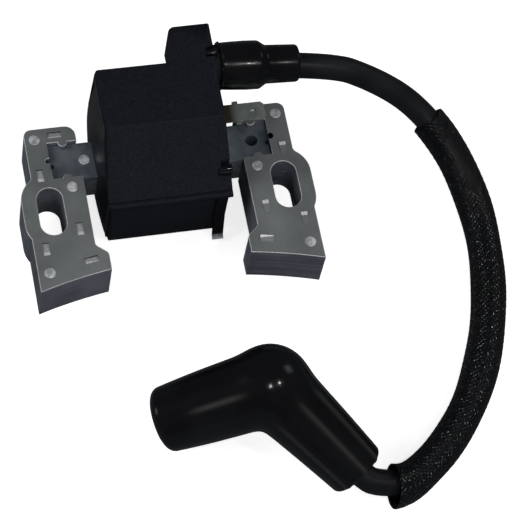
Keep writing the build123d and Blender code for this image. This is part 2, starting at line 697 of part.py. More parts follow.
with BuildPart() as lead_conductor:
    with BuildLine() as conductor_path:
        FilletPolyline(*conductor_route, radius=ROUTE_RADII)
    with BuildSketch(Plane(origin=conductor_route[0], z_dir=TOWER_AXIS)):
        Circle(CONDUCTOR_RADIUS)
    sweep(path=conductor_path.wires()[0])
lead_conductor.part.label = "lead_conductor"
export_step(lead_conductor.part, "parts/lead_conductor.step")
check_tube("lead_conductor", lead_conductor, conductor_path.wires()[0].length, CONDUCTOR_RADIUS, 0)

# Braided sleeve over the lead: it starts midway along one run and ends midway along another.
SLEEVE_FIRST_RUN = 3
SLEEVE_LAST_RUN = 12
sleeve_start = (ROUTE[SLEEVE_FIRST_RUN] + ROUTE[SLEEVE_FIRST_RUN + 1]) * 0.5
sleeve_end = (ROUTE[SLEEVE_LAST_RUN] + ROUTE[SLEEVE_LAST_RUN + 1]) * 0.5
sleeve_route = [sleeve_start] + ROUTE[SLEEVE_FIRST_RUN + 1 : SLEEVE_LAST_RUN + 1] + [sleeve_end]

with BuildPart() as braided_sleeve:
    with BuildLine() as sleeve_path:
        FilletPolyline(*sleeve_route, radius=ROUTE_RADII[SLEEVE_FIRST_RUN:SLEEVE_LAST_RUN])
    with BuildSketch(Plane(origin=sleeve_start, z_dir=ROUTE[SLEEVE_FIRST_RUN + 1] - ROUTE[SLEEVE_FIRST_RUN])):
        Circle(SLEEVE_RADIUS)
        Circle(SLEEVE_BORE_RADIUS, mode=Mode.SUBTRACT)
    sweep(path=sleeve_path.wires()[0])
braided_sleeve.part.label = "braided_sleeve"
export_step(braided_sleeve.part, "parts/braided_sleeve.step")
check_tube("braided_sleeve", braided_sleeve, sleeve_path.wires()[0].length, SLEEVE_RADIUS, SLEEVE_BORE_RADIUS)

# ---------------------------------------------------------------- spark plug boot
ELBOW_RADIUS = 12.8
ARM_MOUTH_RADIUS = 9.3
BARREL_ROOT_RADIUS = 12.6
BARREL_MOUTH_RADIUS = 10.5
PLUG_BORE_RADIUS = 7.3
PLUG_BORE_DEPTH = 26.6
CLIP_BORE_RADIUS = 4.6
LEAD_FIT = 0.05          # the boot turns on the lead with this radial clearance


with BuildPart() as plug_boot:
    with BuildSketch(Plane(origin=ELBOW, z_dir=ARM_AXIS)):
        Circle(ELBOW_RADIUS)
    with BuildSketch(Plane(origin=ARM_MOUTH, z_dir=ARM_AXIS)):
        Circle(ARM_MOUTH_RADIUS)
    loft()
    with BuildSketch(Plane(origin=ELBOW, z_dir=BARREL_AXIS)):
        Circle(BARREL_ROOT_RADIUS)
    with BuildSketch(Plane(origin=BARREL_MOUTH, z_dir=BARREL_AXIS)):
        Circle(BARREL_MOUTH_RADIUS)
    loft()
    # the elbow's ball, its poles turned into the two arms
    with Locations(Plane(origin=ELBOW, z_dir=ARM_AXIS - BARREL_AXIS)):
        Sphere(ELBOW_RADIUS)
    fillet(plug_boot.edges().filter_by(GeomType.CIRCLE).sort_by_distance(BARREL_MOUTH)[0], 3.0)
    fillet(plug_boot.edges().filter_by(GeomType.CIRCLE).sort_by_distance(ARM_MOUTH)[0], 2.2)
    with BuildSketch(Plane(origin=BARREL_MOUTH, z_dir=-BARREL_AXIS)):
        Circle(PLUG_BORE_RADIUS)
    extrude(amount=PLUG_BORE_DEPTH, mode=Mode.SUBTRACT)
    with BuildSketch(Plane(origin=ELBOW - BARREL_AXIS * 3.0, z_dir=BARREL_AXIS)):
        Circle(CLIP_BORE_RADIUS)
    extrude(amount=BARREL_LENGTH - PLUG_BORE_DEPTH + 4.0, mode=Mode.SUBTRACT)
    with BuildSketch(Plane(origin=ELBOW, z_dir=ARM_AXIS)):
        Circle(LEAD_RADIUS + LEAD_FIT)
    extrude(amount=ARM_LENGTH + 1.0, mode=Mode.SUBTRACT)
    # the mouth opens out so that the lead can bend where it leaves
    with BuildSketch(Plane(origin=ARM_MOUTH, z_dir=-ARM_AXIS)):
        Circle(6.0)
    extrude(amount=5.0, taper=17.5, mode=Mode.SUBTRACT)
plug_boot.part.label = "plug_boot"
export_step(plug_boot.part, "parts/plug_boot.step")

# Spring clip that grips the spark plug's terminal nut, with the pin that enters the lead's conductor
CLIP_OUTER_RADIUS = 4.5
CLIP_INNER_RADIUS = 3.6
CLIP_LENGTH = 9.5        # it stays behind the floor of the plug's bore

with BuildPart() as boot_terminal:
    with BuildSketch(Plane(origin=ELBOW - BARREL_AXIS * 2.0, z_dir=BARREL_AXIS)):
        Circle(CLIP_OUTER_RADIUS)
    extrude(amount=2.0)
    with BuildSketch(Plane(origin=ELBOW, z_dir=BARREL_AXIS)):
        Circle(CLIP_OUTER_RADIUS)
        Circle(CLIP_INNER_RADIUS, mode=Mode.SUBTRACT)
    extrude(amount=CLIP_LENGTH)
    with BuildSketch(Plane(origin=ELBOW, z_dir=ARM_AXIS)):
        Circle(1.0)
    extrude(amount=LEAD_BACKOFF + PIN_DEPTH - 0.3)
    # the pin stops at the clip's wall, so the plug's nut has the clip's bore to itself
    with BuildSketch(Plane(origin=ELBOW, z_dir=BARREL_AXIS)):
        Circle(CLIP_INNER_RADIUS)
    extrude(amount=CLIP_LENGTH, mode=Mode.SUBTRACT)
boot_terminal.part.label = "boot_terminal"
export_step(boot_terminal.part, "parts/boot_terminal.step")
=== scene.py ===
"""Ignition coil module for a small engine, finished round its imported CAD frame. Lengths are in metres."""
from math import radians, tau

import bmesh
import bpy
import numpy as np
from mathutils import Matrix, Vector


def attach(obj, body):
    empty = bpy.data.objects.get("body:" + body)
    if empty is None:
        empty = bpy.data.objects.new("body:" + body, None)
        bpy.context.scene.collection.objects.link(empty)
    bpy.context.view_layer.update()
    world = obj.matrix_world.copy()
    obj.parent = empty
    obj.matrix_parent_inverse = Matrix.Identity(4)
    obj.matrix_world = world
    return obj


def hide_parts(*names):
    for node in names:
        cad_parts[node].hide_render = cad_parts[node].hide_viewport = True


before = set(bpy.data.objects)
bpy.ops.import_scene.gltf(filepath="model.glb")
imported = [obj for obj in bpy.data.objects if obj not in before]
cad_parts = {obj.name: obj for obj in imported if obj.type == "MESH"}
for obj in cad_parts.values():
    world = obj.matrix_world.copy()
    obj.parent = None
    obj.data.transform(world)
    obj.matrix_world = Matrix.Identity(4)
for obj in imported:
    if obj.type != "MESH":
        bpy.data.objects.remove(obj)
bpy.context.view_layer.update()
MM = 0.001
MODULE = "module"
BOOT = "boot"

# ---------------------------------------------------------------- view
# A short telephoto lens looks down on the module from the front, a little from its left.
lens = bpy.data.cameras.new("camera")
lens.lens = 185.12
lens.sensor_width = 36.0
camera = bpy.data.objects.new("camera", lens)
bpy.context.collection.objects.link(camera)
camera_axes = np.array([
    [0.97529721, 0.11973714, -0.18562963],
    [-0.18874256, 0.88831186, -0.4186625],
    [0.11476755, 0.44335658, 0.88896758],
])
camera_place = np.eye(4)
camera_place[:3, :3] = camera_axes
camera_place[:3, 3] = (-0.133385, -0.396210, 0.784526)
camera.matrix_world = Matrix(camera_place.tolist())
bpy.context.scene.camera = camera
bpy.context.scene.view_settings.view_transform = "Standard"


# ---------------------------------------------------------------- plug lead
# High-tension lead, 8.4 mm across: stranded core in extruded black rubber with a satin skin.
# It is clamped in the tower and pushed into the boot's arm.
def paint(code):
    """Linear colour of an sRGB hex value: each channel is raised by the sRGB curve."""
    channels = np.array([int(code[i:i + 2], 16) for i in (1, 3, 5)]) / 255
    linear = np.where(channels <= 0.04045, channels / 12.92, ((channels + 0.055) / 1.055) ** 2.4)
    return (*linear.tolist(), 1.0)


def add(tree, kind, settings=None, inputs=None, stops=None):
    """Adds one shader node: settings are its own properties, inputs its sockets' values or the sockets
    that feed them, and stops a colour ramp's places with their colours."""
    node = tree.nodes.new("ShaderNode" + kind)
    for name, value in (settings or {}).items():
        setattr(node, name, value)
    for socket, value in (inputs or {}).items():
        if isinstance(value, bpy.types.NodeSocket):
            tree.links.new(value, node.inputs[socket])
        else:
            node.inputs[socket].default_value = value
    ramp = node.color_ramp.elements if stops else []
    for place, code in (stops or [])[len(ramp):]:
        ramp.new(place)
    for element, (place, code) in zip(ramp, stops or []):
        element.position = place
        element.color = paint(code)
    return node


def finish_named(name):
    """Empty material with a Principled shader: gives the material, its tree and the shader's node."""
    material = bpy.data.materials.new(name)
    material.use_nodes = True
    tree = material.node_tree
    return material, tree, tree.nodes["Principled BSDF"]


LEAD_DIAMETER = 0.0084
lead_route = np.array([
    (13.3186, 28.0485, 36.7187), (57.2164, 26.1318, 34.4159), (75.0, 21.2, 26.8), (88.2, 15.2, 18.2),
    (98.4, 1.6, 10.8), (103.2, -17.0, 6.4), (103.2, -34.5, 5.8), (100.4, -52.0, 5.8), (95.0, -69.5, 5.8),
    (86.6, -86.5, 5.8), (75.0, -100.5, 5.8), (64.7, -107.9, 5.8), (58.0, -110.8, 6.2), (51.3, -110.6, 7.2),
    (45.271, -108.589, 8.738), (26.256, -87.944, 20.690),
]) * MM


def route_curve(name, points):
    """Curve object of one smooth NURBS spline whose control points are the route's points."""
    curve = bpy.data.curves.new(name, "CURVE")
    curve.dimensions = "3D"
    spline = curve.splines.new("NURBS")
    spline.points.add(len(points) - 1)
    spline.points.foreach_set("co", np.column_stack([points, np.ones(len(points))]).ravel())
    spline.order_u = 3
    spline.use_endpoint_u = True
    curve.resolution_u = 24
    piece = bpy.data.objects.new(name, curve)
    bpy.context.collection.objects.link(piece)
    return piece


lead = route_curve("plug_lead", lead_route)
lead_line_mesh = bpy.data.meshes.new_from_object(lead)
lead_line = np.zeros(3 * len(lead_line_mesh.vertices))
lead_line_mesh.vertices.foreach_get("co", lead_line)
lead_line = lead_line.reshape(-1, 3)
bpy.data.meshes.remove(lead_line_mesh)
lead.data.bevel_depth = LEAD_DIAMETER / 2
lead.data.bevel_resolution = 10
lead.data.use_fill_caps = True

# Extruded rubber skin: satin, with faint drag marks and dust.
lead_rubber, tree, shader = finish_named("rubber_extruded_satin")
place = add(tree, "TexCoord")
smudge = add(tree, "TexNoise", inputs={"Vector": place.outputs["Object"], "Scale": 90.0, "Detail": 4.0})
grain = add(tree, "TexNoise", inputs={"Vector": place.outputs["Object"], "Scale": 1600.0, "Detail": 3.0})
tone = add(tree, "ValToRGB", inputs={"Fac": smudge.outputs["Fac"]},
           stops=[(0.35, "#131417"), (0.75, "#1c1d20")])
gloss = add(tree, "MapRange", inputs={"Value": smudge.outputs["Fac"], "To Min": 0.34, "To Max": 0.5})
relief = add(tree, "Bump", inputs={"Height": grain.outputs["Fac"], "Strength": 0.25, "Distance": 0.00004})
tree.links.new(tone.outputs["Color"], shader.inputs["Base Color"])
tree.links.new(gloss.outputs["Result"], shader.inputs["Roughness"])
tree.links.new(relief.outputs["Normal"], shader.inputs["Normal"])
shader.inputs["Specular IOR Level"].default_value = 0.4
lead.data.materials.append(lead_rubber)
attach(lead, MODULE)
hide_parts("hv_lead")


def path_frames(points):
    """Unit tangents of a path and two unit normals that are carried along it without twist: each normal is
    the one before it, less its share along the new tangent."""
    tangents = np.gradient(points, axis=0)
    tangents /= np.linalg.norm(tangents, axis=1)[:, None]
    normal = np.cross(tangents[0], (0.0, 0.0, 1.0))
    normals = []
    for tangent in tangents:
        normal = normal - tangent * (normal @ tangent)
        normal = normal / np.linalg.norm(normal)
        normals.append(normal)
    normals = np.array(normals)
    return tangents, normals, np.cross(tangents, normals)


def grid_mesh(name, grid, close_across=True, uv=None, cap_start=False, cap_end=False):
    """Mesh of a grid of points, rows by columns: each cell is one quad, the last column joins the first,
    and an end that is capped closes on the middle of its row. uv holds a pair for each corner of the grid,
    with one more column than the points have."""
    rows, columns = grid.shape[:2]
    index = np.arange(rows * columns).reshape(rows, columns)
    wrapped = np.concatenate([index, index[:, :1]], axis=1) if close_across else index
    quads = np.stack([wrapped[:-1, :-1], wrapped[:-1, 1:], wrapped[1:, 1:], wrapped[1:, :-1]], axis=-1)
    faces = quads.reshape(-1, 4).tolist()
    points = grid.reshape(-1, 3)
    corners = None
    if uv is not None:
        corners = np.stack([uv[:-1, :-1], uv[:-1, 1:], uv[1:, 1:], uv[1:, :-1]], axis=2).reshape(-1, 2)
    for wanted, row, turn in ((cap_start, index[0], 1), (cap_end, index[-1], -1)):
        if wanted:
            middle = len(points)
            points = np.vstack([points, points[row].mean(axis=0)])
            ring = row[::turn]
            faces += np.stack([np.full(columns, middle), np.roll(ring, -1), ring], axis=1).tolist()
            if corners is not None:
                corners = np.vstack([corners, np.zeros((3 * columns, 2))])
    mesh = bpy.data.meshes.new(name)
    mesh.from_pydata(points.tolist(), [], faces)
    if corners is not None:
        mesh.uv_layers.new(name="weave").data.foreach_set("uv", corners.ravel())
    mesh.polygons.foreach_set("use_smooth", np.ones(len(mesh.polygons), dtype=bool))
    piece = bpy.data.objects.new(name, mesh)
    bpy.context.collection.objects.link(piece)
    return piece


def point_outwards(piece):
    """Turns every face of a closed mesh to look away from its inside."""
    shell = bmesh.new()
    shell.from_mesh(piece.data)
    bmesh.ops.recalc_face_normals(shell, faces=shell.faces)
    shell.to_mesh(piece.data)
    shell.free()


def spread(points, step):
    """The same path with its points a step apart along its length, by straight interpolation."""
    lengths = np.concatenate([[0.0], np.cumsum(np.linalg.norm(np.diff(points, axis=0), axis=1))])
    wanted = np.linspace(0, lengths[-1], int(lengths[-1] / step) + 1)
    return np.column_stack([np.interp(wanted, lengths, points[:, k]) for k in range(3)]), wanted


# ---------------------------------------------------------------- braided sleeve
# Woven glass-fibre sleeve with a black varnish, cut square at both ends and loose on the lead.
# Its lower end has frayed a little wider. The weave is drawn coarser than the real threads, to show.
sleeve_start = np.array([92.0, 10.4, 15.6]) * MM
sleeve_end = np.array([54.65, -110.7, 6.7]) * MM
nearest_start = np.argmin(np.linalg.norm(lead_line - sleeve_start, axis=1))
nearest_end = np.argmin(np.linalg.norm(lead_line - sleeve_end, axis=1))
sleeve_line, sleeve_run = spread(lead_line[nearest_start:nearest_end + 1], 0.0005)
SLEEVE_RADIUS = 0.0057
SLEEVE_WALL = 0.0006
SLEEVE_FLARE = 0.0013
STRANDS = 30
sleeve_turn = np.linspace(0, tau, 121)[:-1]
_, sleeve_side, sleeve_up = path_frames(sleeve_line)
from_end = sleeve_run[-1] - sleeve_run
flare = SLEEVE_FLARE * np.exp(-(from_end / 0.008) ** 1.3)
sleeve_line = sleeve_line + np.array([0.0004, -0.0013, 0.0]) * np.exp(-(from_end / 0.014) ** 1.5)[:, None]
slack = 0.00012 * np.sin(sleeve_run / 0.011) + 0.0001 * np.sin(sleeve_run / 0.0047 + 1.0)
pitch = tau * SLEEVE_RADIUS / STRANDS
warp = np.sin(STRANDS * sleeve_turn[None, :] / 2 + tau * sleeve_run[:, None] / pitch / 2)
weft = np.sin(STRANDS * sleeve_turn[None, :] / 2 - tau * sleeve_run[:, None] / pitch / 2)
sleeve_radius = SLEEVE_RADIUS + (flare + slack)[:, None] + 0.00012 * np.maximum(warp, weft)


def ring_points(line, side, up, radius, turn):
    """Points round a path: radius times the cosine along one normal and the sine along the other."""
    return line[:, None, :] + radius[..., None] * (
        np.cos(turn)[None, :, None] * side[:, None, :] + np.sin(turn)[None, :, None] * up[:, None, :])


sleeve_outer = ring_points(sleeve_line, sleeve_side, sleeve_up, sleeve_radius, sleeve_turn)
sleeve_inner = ring_points(sleeve_line, sleeve_side, sleeve_up, sleeve_radius - SLEEVE_WALL, sleeve_turn)
sleeve_outer[..., 2] = np.maximum(sleeve_outer[..., 2], 0.0002)
sleeve_inner[..., 2] = np.maximum(sleeve_inner[..., 2], 0.0004)
inner_rows = np.r_[len(sleeve_run) - 1:0:-6, 0]
sleeve_grid = np.concatenate([sleeve_outer, sleeve_inner[inner_rows], sleeve_outer[:1]])
sleeve_uv_run = np.concatenate([sleeve_run, sleeve_run[inner_rows], sleeve_run[:1]])
sleeve_uv = np.stack(np.broadcast_arrays(
    np.linspace(0, 1, len(sleeve_turn) + 1)[None, :],
    sleeve_uv_run[:, None] / (tau * SLEEVE_RADIUS)), axis=-1)
sleeve = grid_mesh("braided_sleeve_weave", sleeve_grid, uv=sleeve_uv)

# Black varnished glass-fibre braid: threads of about 0.6 mm. Its colour holds painted shade and painted
# glints:
# darker in the gaps between threads, lighter on their tops, and pale grey at scattered crossings.
braid, tree, shader = finish_named("glass_fibre_braid_black")
place = add(tree, "TexCoord")
split = add(tree, "SeparateXYZ", inputs={"Vector": place.outputs["UV"]})
lean_right = add(tree, "Math", {"operation": "ADD"}, {0: split.outputs["X"], 1: split.outputs["Y"]})
lean_left = add(tree, "Math", {"operation": "SUBTRACT"}, {0: split.outputs["X"], 1: split.outputs["Y"]})
THREADS = 44
rows = []
for lean in (lean_right, lean_left):
    phase = add(tree, "Math", {"operation": "MULTIPLY"}, {0: lean.outputs[0], 1: tau * THREADS / 2})
    rows.append(add(tree, "Math", {"operation": "SINE"}, {0: phase.outputs[0]}))
crossing = add(tree, "Math", {"operation": "MAXIMUM"}, {0: rows[0].outputs[0], 1: rows[1].outputs[0]})
height = add(tree, "MapRange", inputs={"Value": crossing.outputs[0], "From Min": -1.0, "From Max": 1.0})
glint_scatter = add(tree, "TexNoise", inputs={"Vector": place.outputs["Object"], "Scale": 700.0, "Detail": 2.0})
# Painted glints: the thread height times a patchy noise, so scattered crossings turn pale grey.
painted_glint = add(tree, "Math", {"operation": "MULTIPLY"}, {0: height.outputs["Result"], 1: glint_scatter.outputs["Fac"]})
# Painted shade and glints: near black in the gaps between threads, lighter on their tops, pale grey at the
# glints.
tone = add(tree, "ValToRGB", inputs={"Fac": painted_glint.outputs[0]},
           stops=[(0.3, "#030304"), (0.54, "#0a0b0c"), (0.66, "#131517"), (0.74, "#6a6d70")])
relief = add(tree, "Bump", inputs={"Height": height.outputs["Result"], "Strength": 0.9, "Distance": 0.00025})
tree.links.new(tone.outputs["Color"], shader.inputs["Base Color"])
tree.links.new(relief.outputs["Normal"], shader.inputs["Normal"])
shader.inputs["Roughness"].default_value = 0.22
shader.inputs["Specular IOR Level"].default_value = 0.7
sleeve.data.materials.append(braid)
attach(sleeve, MODULE)
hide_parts("braided_sleeve")

# ---------------------------------------------------------------- lead's conductor
# Bare stranded wire inside the rubber: seven strands with a long lay, all hidden by the jacket.
strand_line, strand_run = spread(lead_line[2:-2], 0.002)
_, strand_side, strand_up = path_frames(strand_line)
strand_turn = np.linspace(0, tau, 43)[:-1]
strand_lay = tau * strand_run / 0.025
strand_radius = 0.0009 + 0.00013 * np.cos(6 * (strand_turn[None, :] + strand_lay[:, None]))
conductor = grid_mesh(
    "lead_conductor_strands", ring_points(strand_line, strand_side, strand_up, strand_radius, strand_turn),
    cap_start=True, cap_end=True)
point_outwards(conductor)
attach(conductor, MODULE)
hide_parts("lead_conductor")

# ---------------------------------------------------------------- tower cap
# Moulded rubber cap over the tower's spigot: a wide skirt with a rag of flash at its rim, a chamfered
# shoulder, and a neck that grips the lead. Its mould was polished, so it is glossy.
TOWER_ROOT = np.array([21.3, 27.7, 36.3]) * MM
TOWER_AXIS = np.array([0.997679, -0.043560, -0.052336])


def eased(profile, reach, steps=5):
    """A profile with its corners rounded: each corner becomes a parabola that starts and ends at most a
    reach from it, and at most 0.45 of the way to the next point."""
    profile = np.array(profile, dtype=float)
    rounded = [profile[:1]]
    share = np.linspace(0, 1, steps)[:, None]
    for before, corner, after in zip(profile[:-2], profile[1:-1], profile[2:]):
        back, ahead = before - corner, after - corner
        start = corner + back * min(0.45, reach / np.linalg.norm(back))
        end = corner + ahead * min(0.45, reach / np.linalg.norm(ahead))
        rounded.append(start * (1 - share) ** 2 + 2 * corner * share * (1 - share) + end * share**2)
    rounded.append(profile[-1:])
    return np.concatenate(rounded)


def turned(name, profile, origin, axis, columns=96, wobble=None):
    """Surface of a profile, pairs of distance along an axis and radius, turned round that axis. wobble adds
    to the radius at each profile point and turn."""
    axis = axis / np.linalg.norm(axis)
    side = np.cross(axis, (0.0, 0.0, 1.0) if abs(axis[2]) < 0.9 else (0.0, 1.0, 0.0))
    side /= np.linalg.norm(side)
    up = np.cross(side, axis)
    turn = np.linspace(0, tau, columns + 1)[:-1]
    line = origin + profile[:, :1] * axis
    radius = np.broadcast_to(profile[:, 1:2], (len(profile), columns)).copy()
    if wobble is not None:
        radius += wobble(profile[:, 0][:, None], turn[None, :], radius)
    ones = np.ones((len(profile), 3))
    return grid_mesh(name, ring_points(line, side * ones, up * ones, radius, turn))


cap_profile = eased(np.array([
    (0.5, 5.9), (0.35, 7.2), (0.3, 7.85), (0.75, 7.9), (0.95, 7.6), (4.0, 7.78), (9.0, 7.95), (13.6, 7.9),
    (15.9, 6.3),
    (21.0, 6.2), (26.2, 6.1), (26.7, 5.6), (26.7, 4.3), (25.0, 4.25), (16.5, 4.25), (13.1, 5.7), (3.0, 5.7),
    (0.5, 5.9),
]) * MM, 0.0006)


def flash_rag(along_axis, turn, radius):
    """Torn flash: three sines round the rim, only where the skirt's rim stands out."""
    rim = (radius > 0.0077) & (along_axis < 0.0008)
    return rim * 0.00018 * (np.sin(7 * turn) + np.sin(17 * turn + 1.0) + 0.6 * np.sin(31 * turn + 2.0))


cap = turned("tower_cap_moulding", cap_profile, TOWER_ROOT, TOWER_AXIS, wobble=flash_rag)
bpy.context.view_layer.update()

# Polished moulded rubber: near black, glossy, with faint smears and shallow ripples of the mould.
gloss_rubber, tree, shader = finish_named("rubber_moulded_gloss")
place = add(tree, "TexCoord")
smear = add(tree, "TexNoise", inputs={"Vector": place.outputs["Object"], "Scale": 70.0, "Detail": 5.0})
ripple = add(tree, "TexNoise", inputs={"Vector": place.outputs["Object"], "Scale": 260.0, "Detail": 2.0})
tone = add(tree, "ValToRGB", inputs={"Fac": smear.outputs["Fac"]}, stops=[(0.3, "#0c0c0d"), (0.8, "#141517")])
gloss = add(tree, "MapRange", inputs={"Value": smear.outputs["Fac"], "To Min": 0.1, "To Max": 0.26})
relief = add(tree, "Bump", inputs={"Height": ripple.outputs["Fac"], "Strength": 0.15, "Distance": 0.0002})
tree.links.new(tone.outputs["Color"], shader.inputs["Base Color"])
tree.links.new(gloss.outputs["Result"], shader.inputs["Roughness"])
tree.links.new(relief.outputs["Normal"], shader.inputs["Normal"])
shader.inputs["Specular IOR Level"].default_value = 0.4
cap.data.materials.append(gloss_rubber)
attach(cap, MODULE)
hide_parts("tower_cap")

# ---------------------------------------------------------------- plug boot
# Moulded rubber elbow: one arm grips the lead, the barrel goes over the plug's insulator. The two arms
# run into a domed elbow, low ribs stiffen the arm, and both mouths have thick rounded lips.
ELBOW = np.array([19.4, -80.5, 25.0])
ARM_MOUTH = np.array([43.9, -107.1, 9.6])
BARREL_MOUTH = np.array([-14.3, -81.2, 9.8])
ARM_LENGTH = np.linalg.norm(ARM_MOUTH - ELBOW)
BARREL_LENGTH = np.linalg.norm(BARREL_MOUTH - ELBOW)
ARM_AXIS = (ARM_MOUTH - ELBOW) / ARM_LENGTH
BARREL_AXIS = (BARREL_MOUTH - ELBOW) / BARREL_LENGTH
BEND_NORMAL = np.cross(ARM_AXIS, BARREL_AXIS)
BEND_NORMAL /= np.linalg.norm(BEND_NORMAL)
INNER_WAY = (ARM_AXIS + BARREL_AXIS) / np.linalg.norm(ARM_AXIS + BARREL_AXIS)
PIVOT = ELBOW + 18.5 * INNER_WAY
UPPER_SIDE = np.array([-0.18562963, -0.4186625, 0.88896758])      # back toward the camera: the ribs and the painted sheen line face this way
RIB_TOP = np.arctan2(UPPER_SIDE @ BEND_NORMAL, UPPER_SIDE @ np.cross(BEND_NORMAL, ARM_AXIS))


# Ribs of the arm: their place round its axis from the elbow's inner side, their height and their width
RIBS = ((RIB_TOP - 0.25, 0.75, 0.9), (RIB_TOP - 0.85, 0.7, 0.7), (RIB_TOP + 0.6, 0.45, 0.7))


def rib_share(points):
    """How strongly each point, in mm from the elbow, belongs to a rib: a bell curve across each rib, and
    nothing near the elbow."""
    along_arm = points @ ARM_AXIS
    across = points - along_arm[..., None] * ARM_AXIS
    turn = np.arctan2(across @ BEND_NORMAL, across @ np.cross(BEND_NORMAL, ARM_AXIS))
    ribs = sum(tall * np.exp(-((turn - place) * 10.5 / wide) ** 2) for place, tall, wide in RIBS)
    return ribs / (1 + np.exp(-(along_arm - 9.0) / 1.2))


def painted_sheen_share(points):
    """Painted sheen, from 0 to 1, that lightens the rubber to grey where highlights would lie: along the
    ribs, and a bell-shaped line along the barrel's upper side that fades in at the elbow and out past the
    middle."""
    offset = points - ELBOW
    along_barrel = offset @ BARREL_AXIS
    crest = np.cross(BARREL_AXIS, np.cross(UPPER_SIDE, BARREL_AXIS))
    crest /= np.linalg.norm(crest)
    sideways = np.cross(BARREL_AXIS, crest)
    turn = np.arctan2(offset @ sideways, offset @ crest)
    line = np.exp(-((turn - 0.02) * 11.5 / 0.8) ** 2) * np.exp(-((along_barrel - 15.0) / 8.5) ** 4)
    return np.clip(rib_share(offset) * 0.8 + 0.9 * line, 0, 1)


def boot_depth(points):
    """How far points, in mm, are outside the boot: a smooth minimum of the distances to the tapered arm,
    the tapered barrel and the elbow's ball, less the height of the ribs."""
    offset = points - ELBOW
    distances = []
    for axis, length, root, tip, bow, crown in ((ARM_AXIS, ARM_LENGTH, 12.5, 9.7, 0.9, 0.0),
                                                (BARREL_AXIS, BARREL_LENGTH, 12.4, 10.5, 0.0, 0.45)):
        along_axis = (offset @ axis)
        share = np.clip(along_axis / length, 0, 1)
        radial = offset - np.clip(along_axis, 0, None)[..., None] * axis
        radial = radial + (bow * 2 * share * (1 - 0.55 * share))[..., None] * INNER_WAY
        distances.append(np.linalg.norm(radial, axis=-1) - root - (tip - root) * share
                         - crown * 4 * share * (1 - share))
    distances.append(np.linalg.norm(offset, axis=-1) - 12.7)
    soft = 0.8
    blend = -soft * np.log(sum(np.exp(-d / soft) for d in distances)) + soft * 0.35
    return blend - rib_share(offset)


boot_turn = np.linspace(0, tau, 193)[:-1]
NEAREST_WALL = 4.0
BARREL_LIP = 3.2
PLUG_BORE_RADIUS = 7.3
ARM_LIP = 2.0
LEAD_BORE_RADIUS = 4.3
FARTHEST_WALL = 19.0
first_cross = PIVOT - ELBOW
barrel_start = first_cross @ BARREL_AXIS
arm_start = first_cross @ ARM_AXIS
fan_total = np.arccos(np.clip(-(BARREL_AXIS @ ARM_AXIS), -1, 1))
centres, outward = [], []
barrel_out = (ELBOW + barrel_start * BARREL_AXIS) - PIVOT
half_gap = np.linalg.norm(barrel_out)
barrel_out /= half_gap
arm_out = (ELBOW + arm_start * ARM_AXIS) - PIVOT
arm_out /= np.linalg.norm(arm_out)
for distance in np.linspace(BARREL_LENGTH - BARREL_LIP, barrel_start, 36)[:-1]:
    centres.append(ELBOW + distance * BARREL_AXIS)
    outward.append(barrel_out)
for angle in np.linspace(0, fan_total, 44):
    turned_out = (np.sin(fan_total - angle) * barrel_out + np.sin(angle) * arm_out) / np.sin(fan_total)
    centres.append(PIVOT + turned_out * half_gap / np.cos(min(angle, fan_total - angle)))
    outward.append(turned_out)
for distance in np.linspace(arm_start, ARM_LENGTH - ARM_LIP, 36)[1:]:
    centres.append(ELBOW + distance * ARM_AXIS)
    outward.append(arm_out)
centres, outward = np.array(centres), np.array(outward)
rays = np.cos(boot_turn)[None, :, None] * outward[:, None, :] + np.sin(boot_turn)[None, :, None] * BEND_NORMAL
near, far = np.full(rays.shape[:2], NEAREST_WALL), np.full(rays.shape[:2], FARTHEST_WALL)
to_pivot = np.linalg.norm(centres - PIVOT, axis=1)[:, None]
far = np.minimum(far, np.where(np.cos(boot_turn)[None, :] < -0.9, to_pivot, FARTHEST_WALL))
for _ in range(26):
    middle = (near + far) / 2
    inside = boot_depth(centres[:, None, :] + middle[..., None] * rays) < 0
    near, far = np.where(inside, middle, near), np.where(inside, far, middle)
boot_reach = (near + far) / 2
boot_body = centres[:, None, :] + boot_reach[..., None] * rays


def lip_rows(row, ray_row, centre, axis, edge, bore, depth, steps=8):
    """Rows of points that round a mouth's lip, cross its flat end and go down its bore: the row is pulled in
    by edge less edge times a cosine while it goes out by edge times a sine, then shrinks onto the bore."""
    reach = np.linalg.norm(row - centre, axis=1)
    rows = []
    for angle in np.linspace(0, np.pi / 2, steps)[1:]:
        pulled = reach - edge * (1 - np.cos(angle))
        rows.append(centre + axis * edge * np.sin(angle) + pulled[:, None] * ray_row)
    flat = reach - edge
    inner_edge = 0.7
    for share in (0.35, 0.7, 1.0):
        rows.append(centre + axis * edge + (flat + (bore + inner_edge - flat) * share)[:, None] * ray_row)
    for angle in np.linspace(0, np.pi / 2, 5)[1:]:
        radius = bore + inner_edge * (1 - np.sin(angle))
        rows.append(centre + axis * (edge - inner_edge * (1 - np.cos(angle))) + radius * ray_row)
    for share in np.linspace(0, 1, 8)[1:]:
        rows.append(centre + axis * (edge - inner_edge - depth * share) + bore * ray_row)
    return np.array(rows)


barrel_lip = lip_rows(boot_body[0], rays[0], centres[0], BARREL_AXIS, BARREL_LIP, PLUG_BORE_RADIUS, 26.3)
arm_lip = lip_rows(boot_body[-1], rays[-1], centres[-1], ARM_AXIS, ARM_LIP, LEAD_BORE_RADIUS, 20.0)
boot_grid = np.concatenate([barrel_lip[::-1], boot_body, arm_lip]) * MM
boot = grid_mesh("plug_boot_moulding", boot_grid, cap_start=True, cap_end=True)
point_outwards(boot)
boot_rubber = gloss_rubber.copy()
boot_rubber.name = "rubber_moulded_gloss_painted_sheen"
tree = boot_rubber.node_tree
shader = tree.nodes["Principled BSDF"]
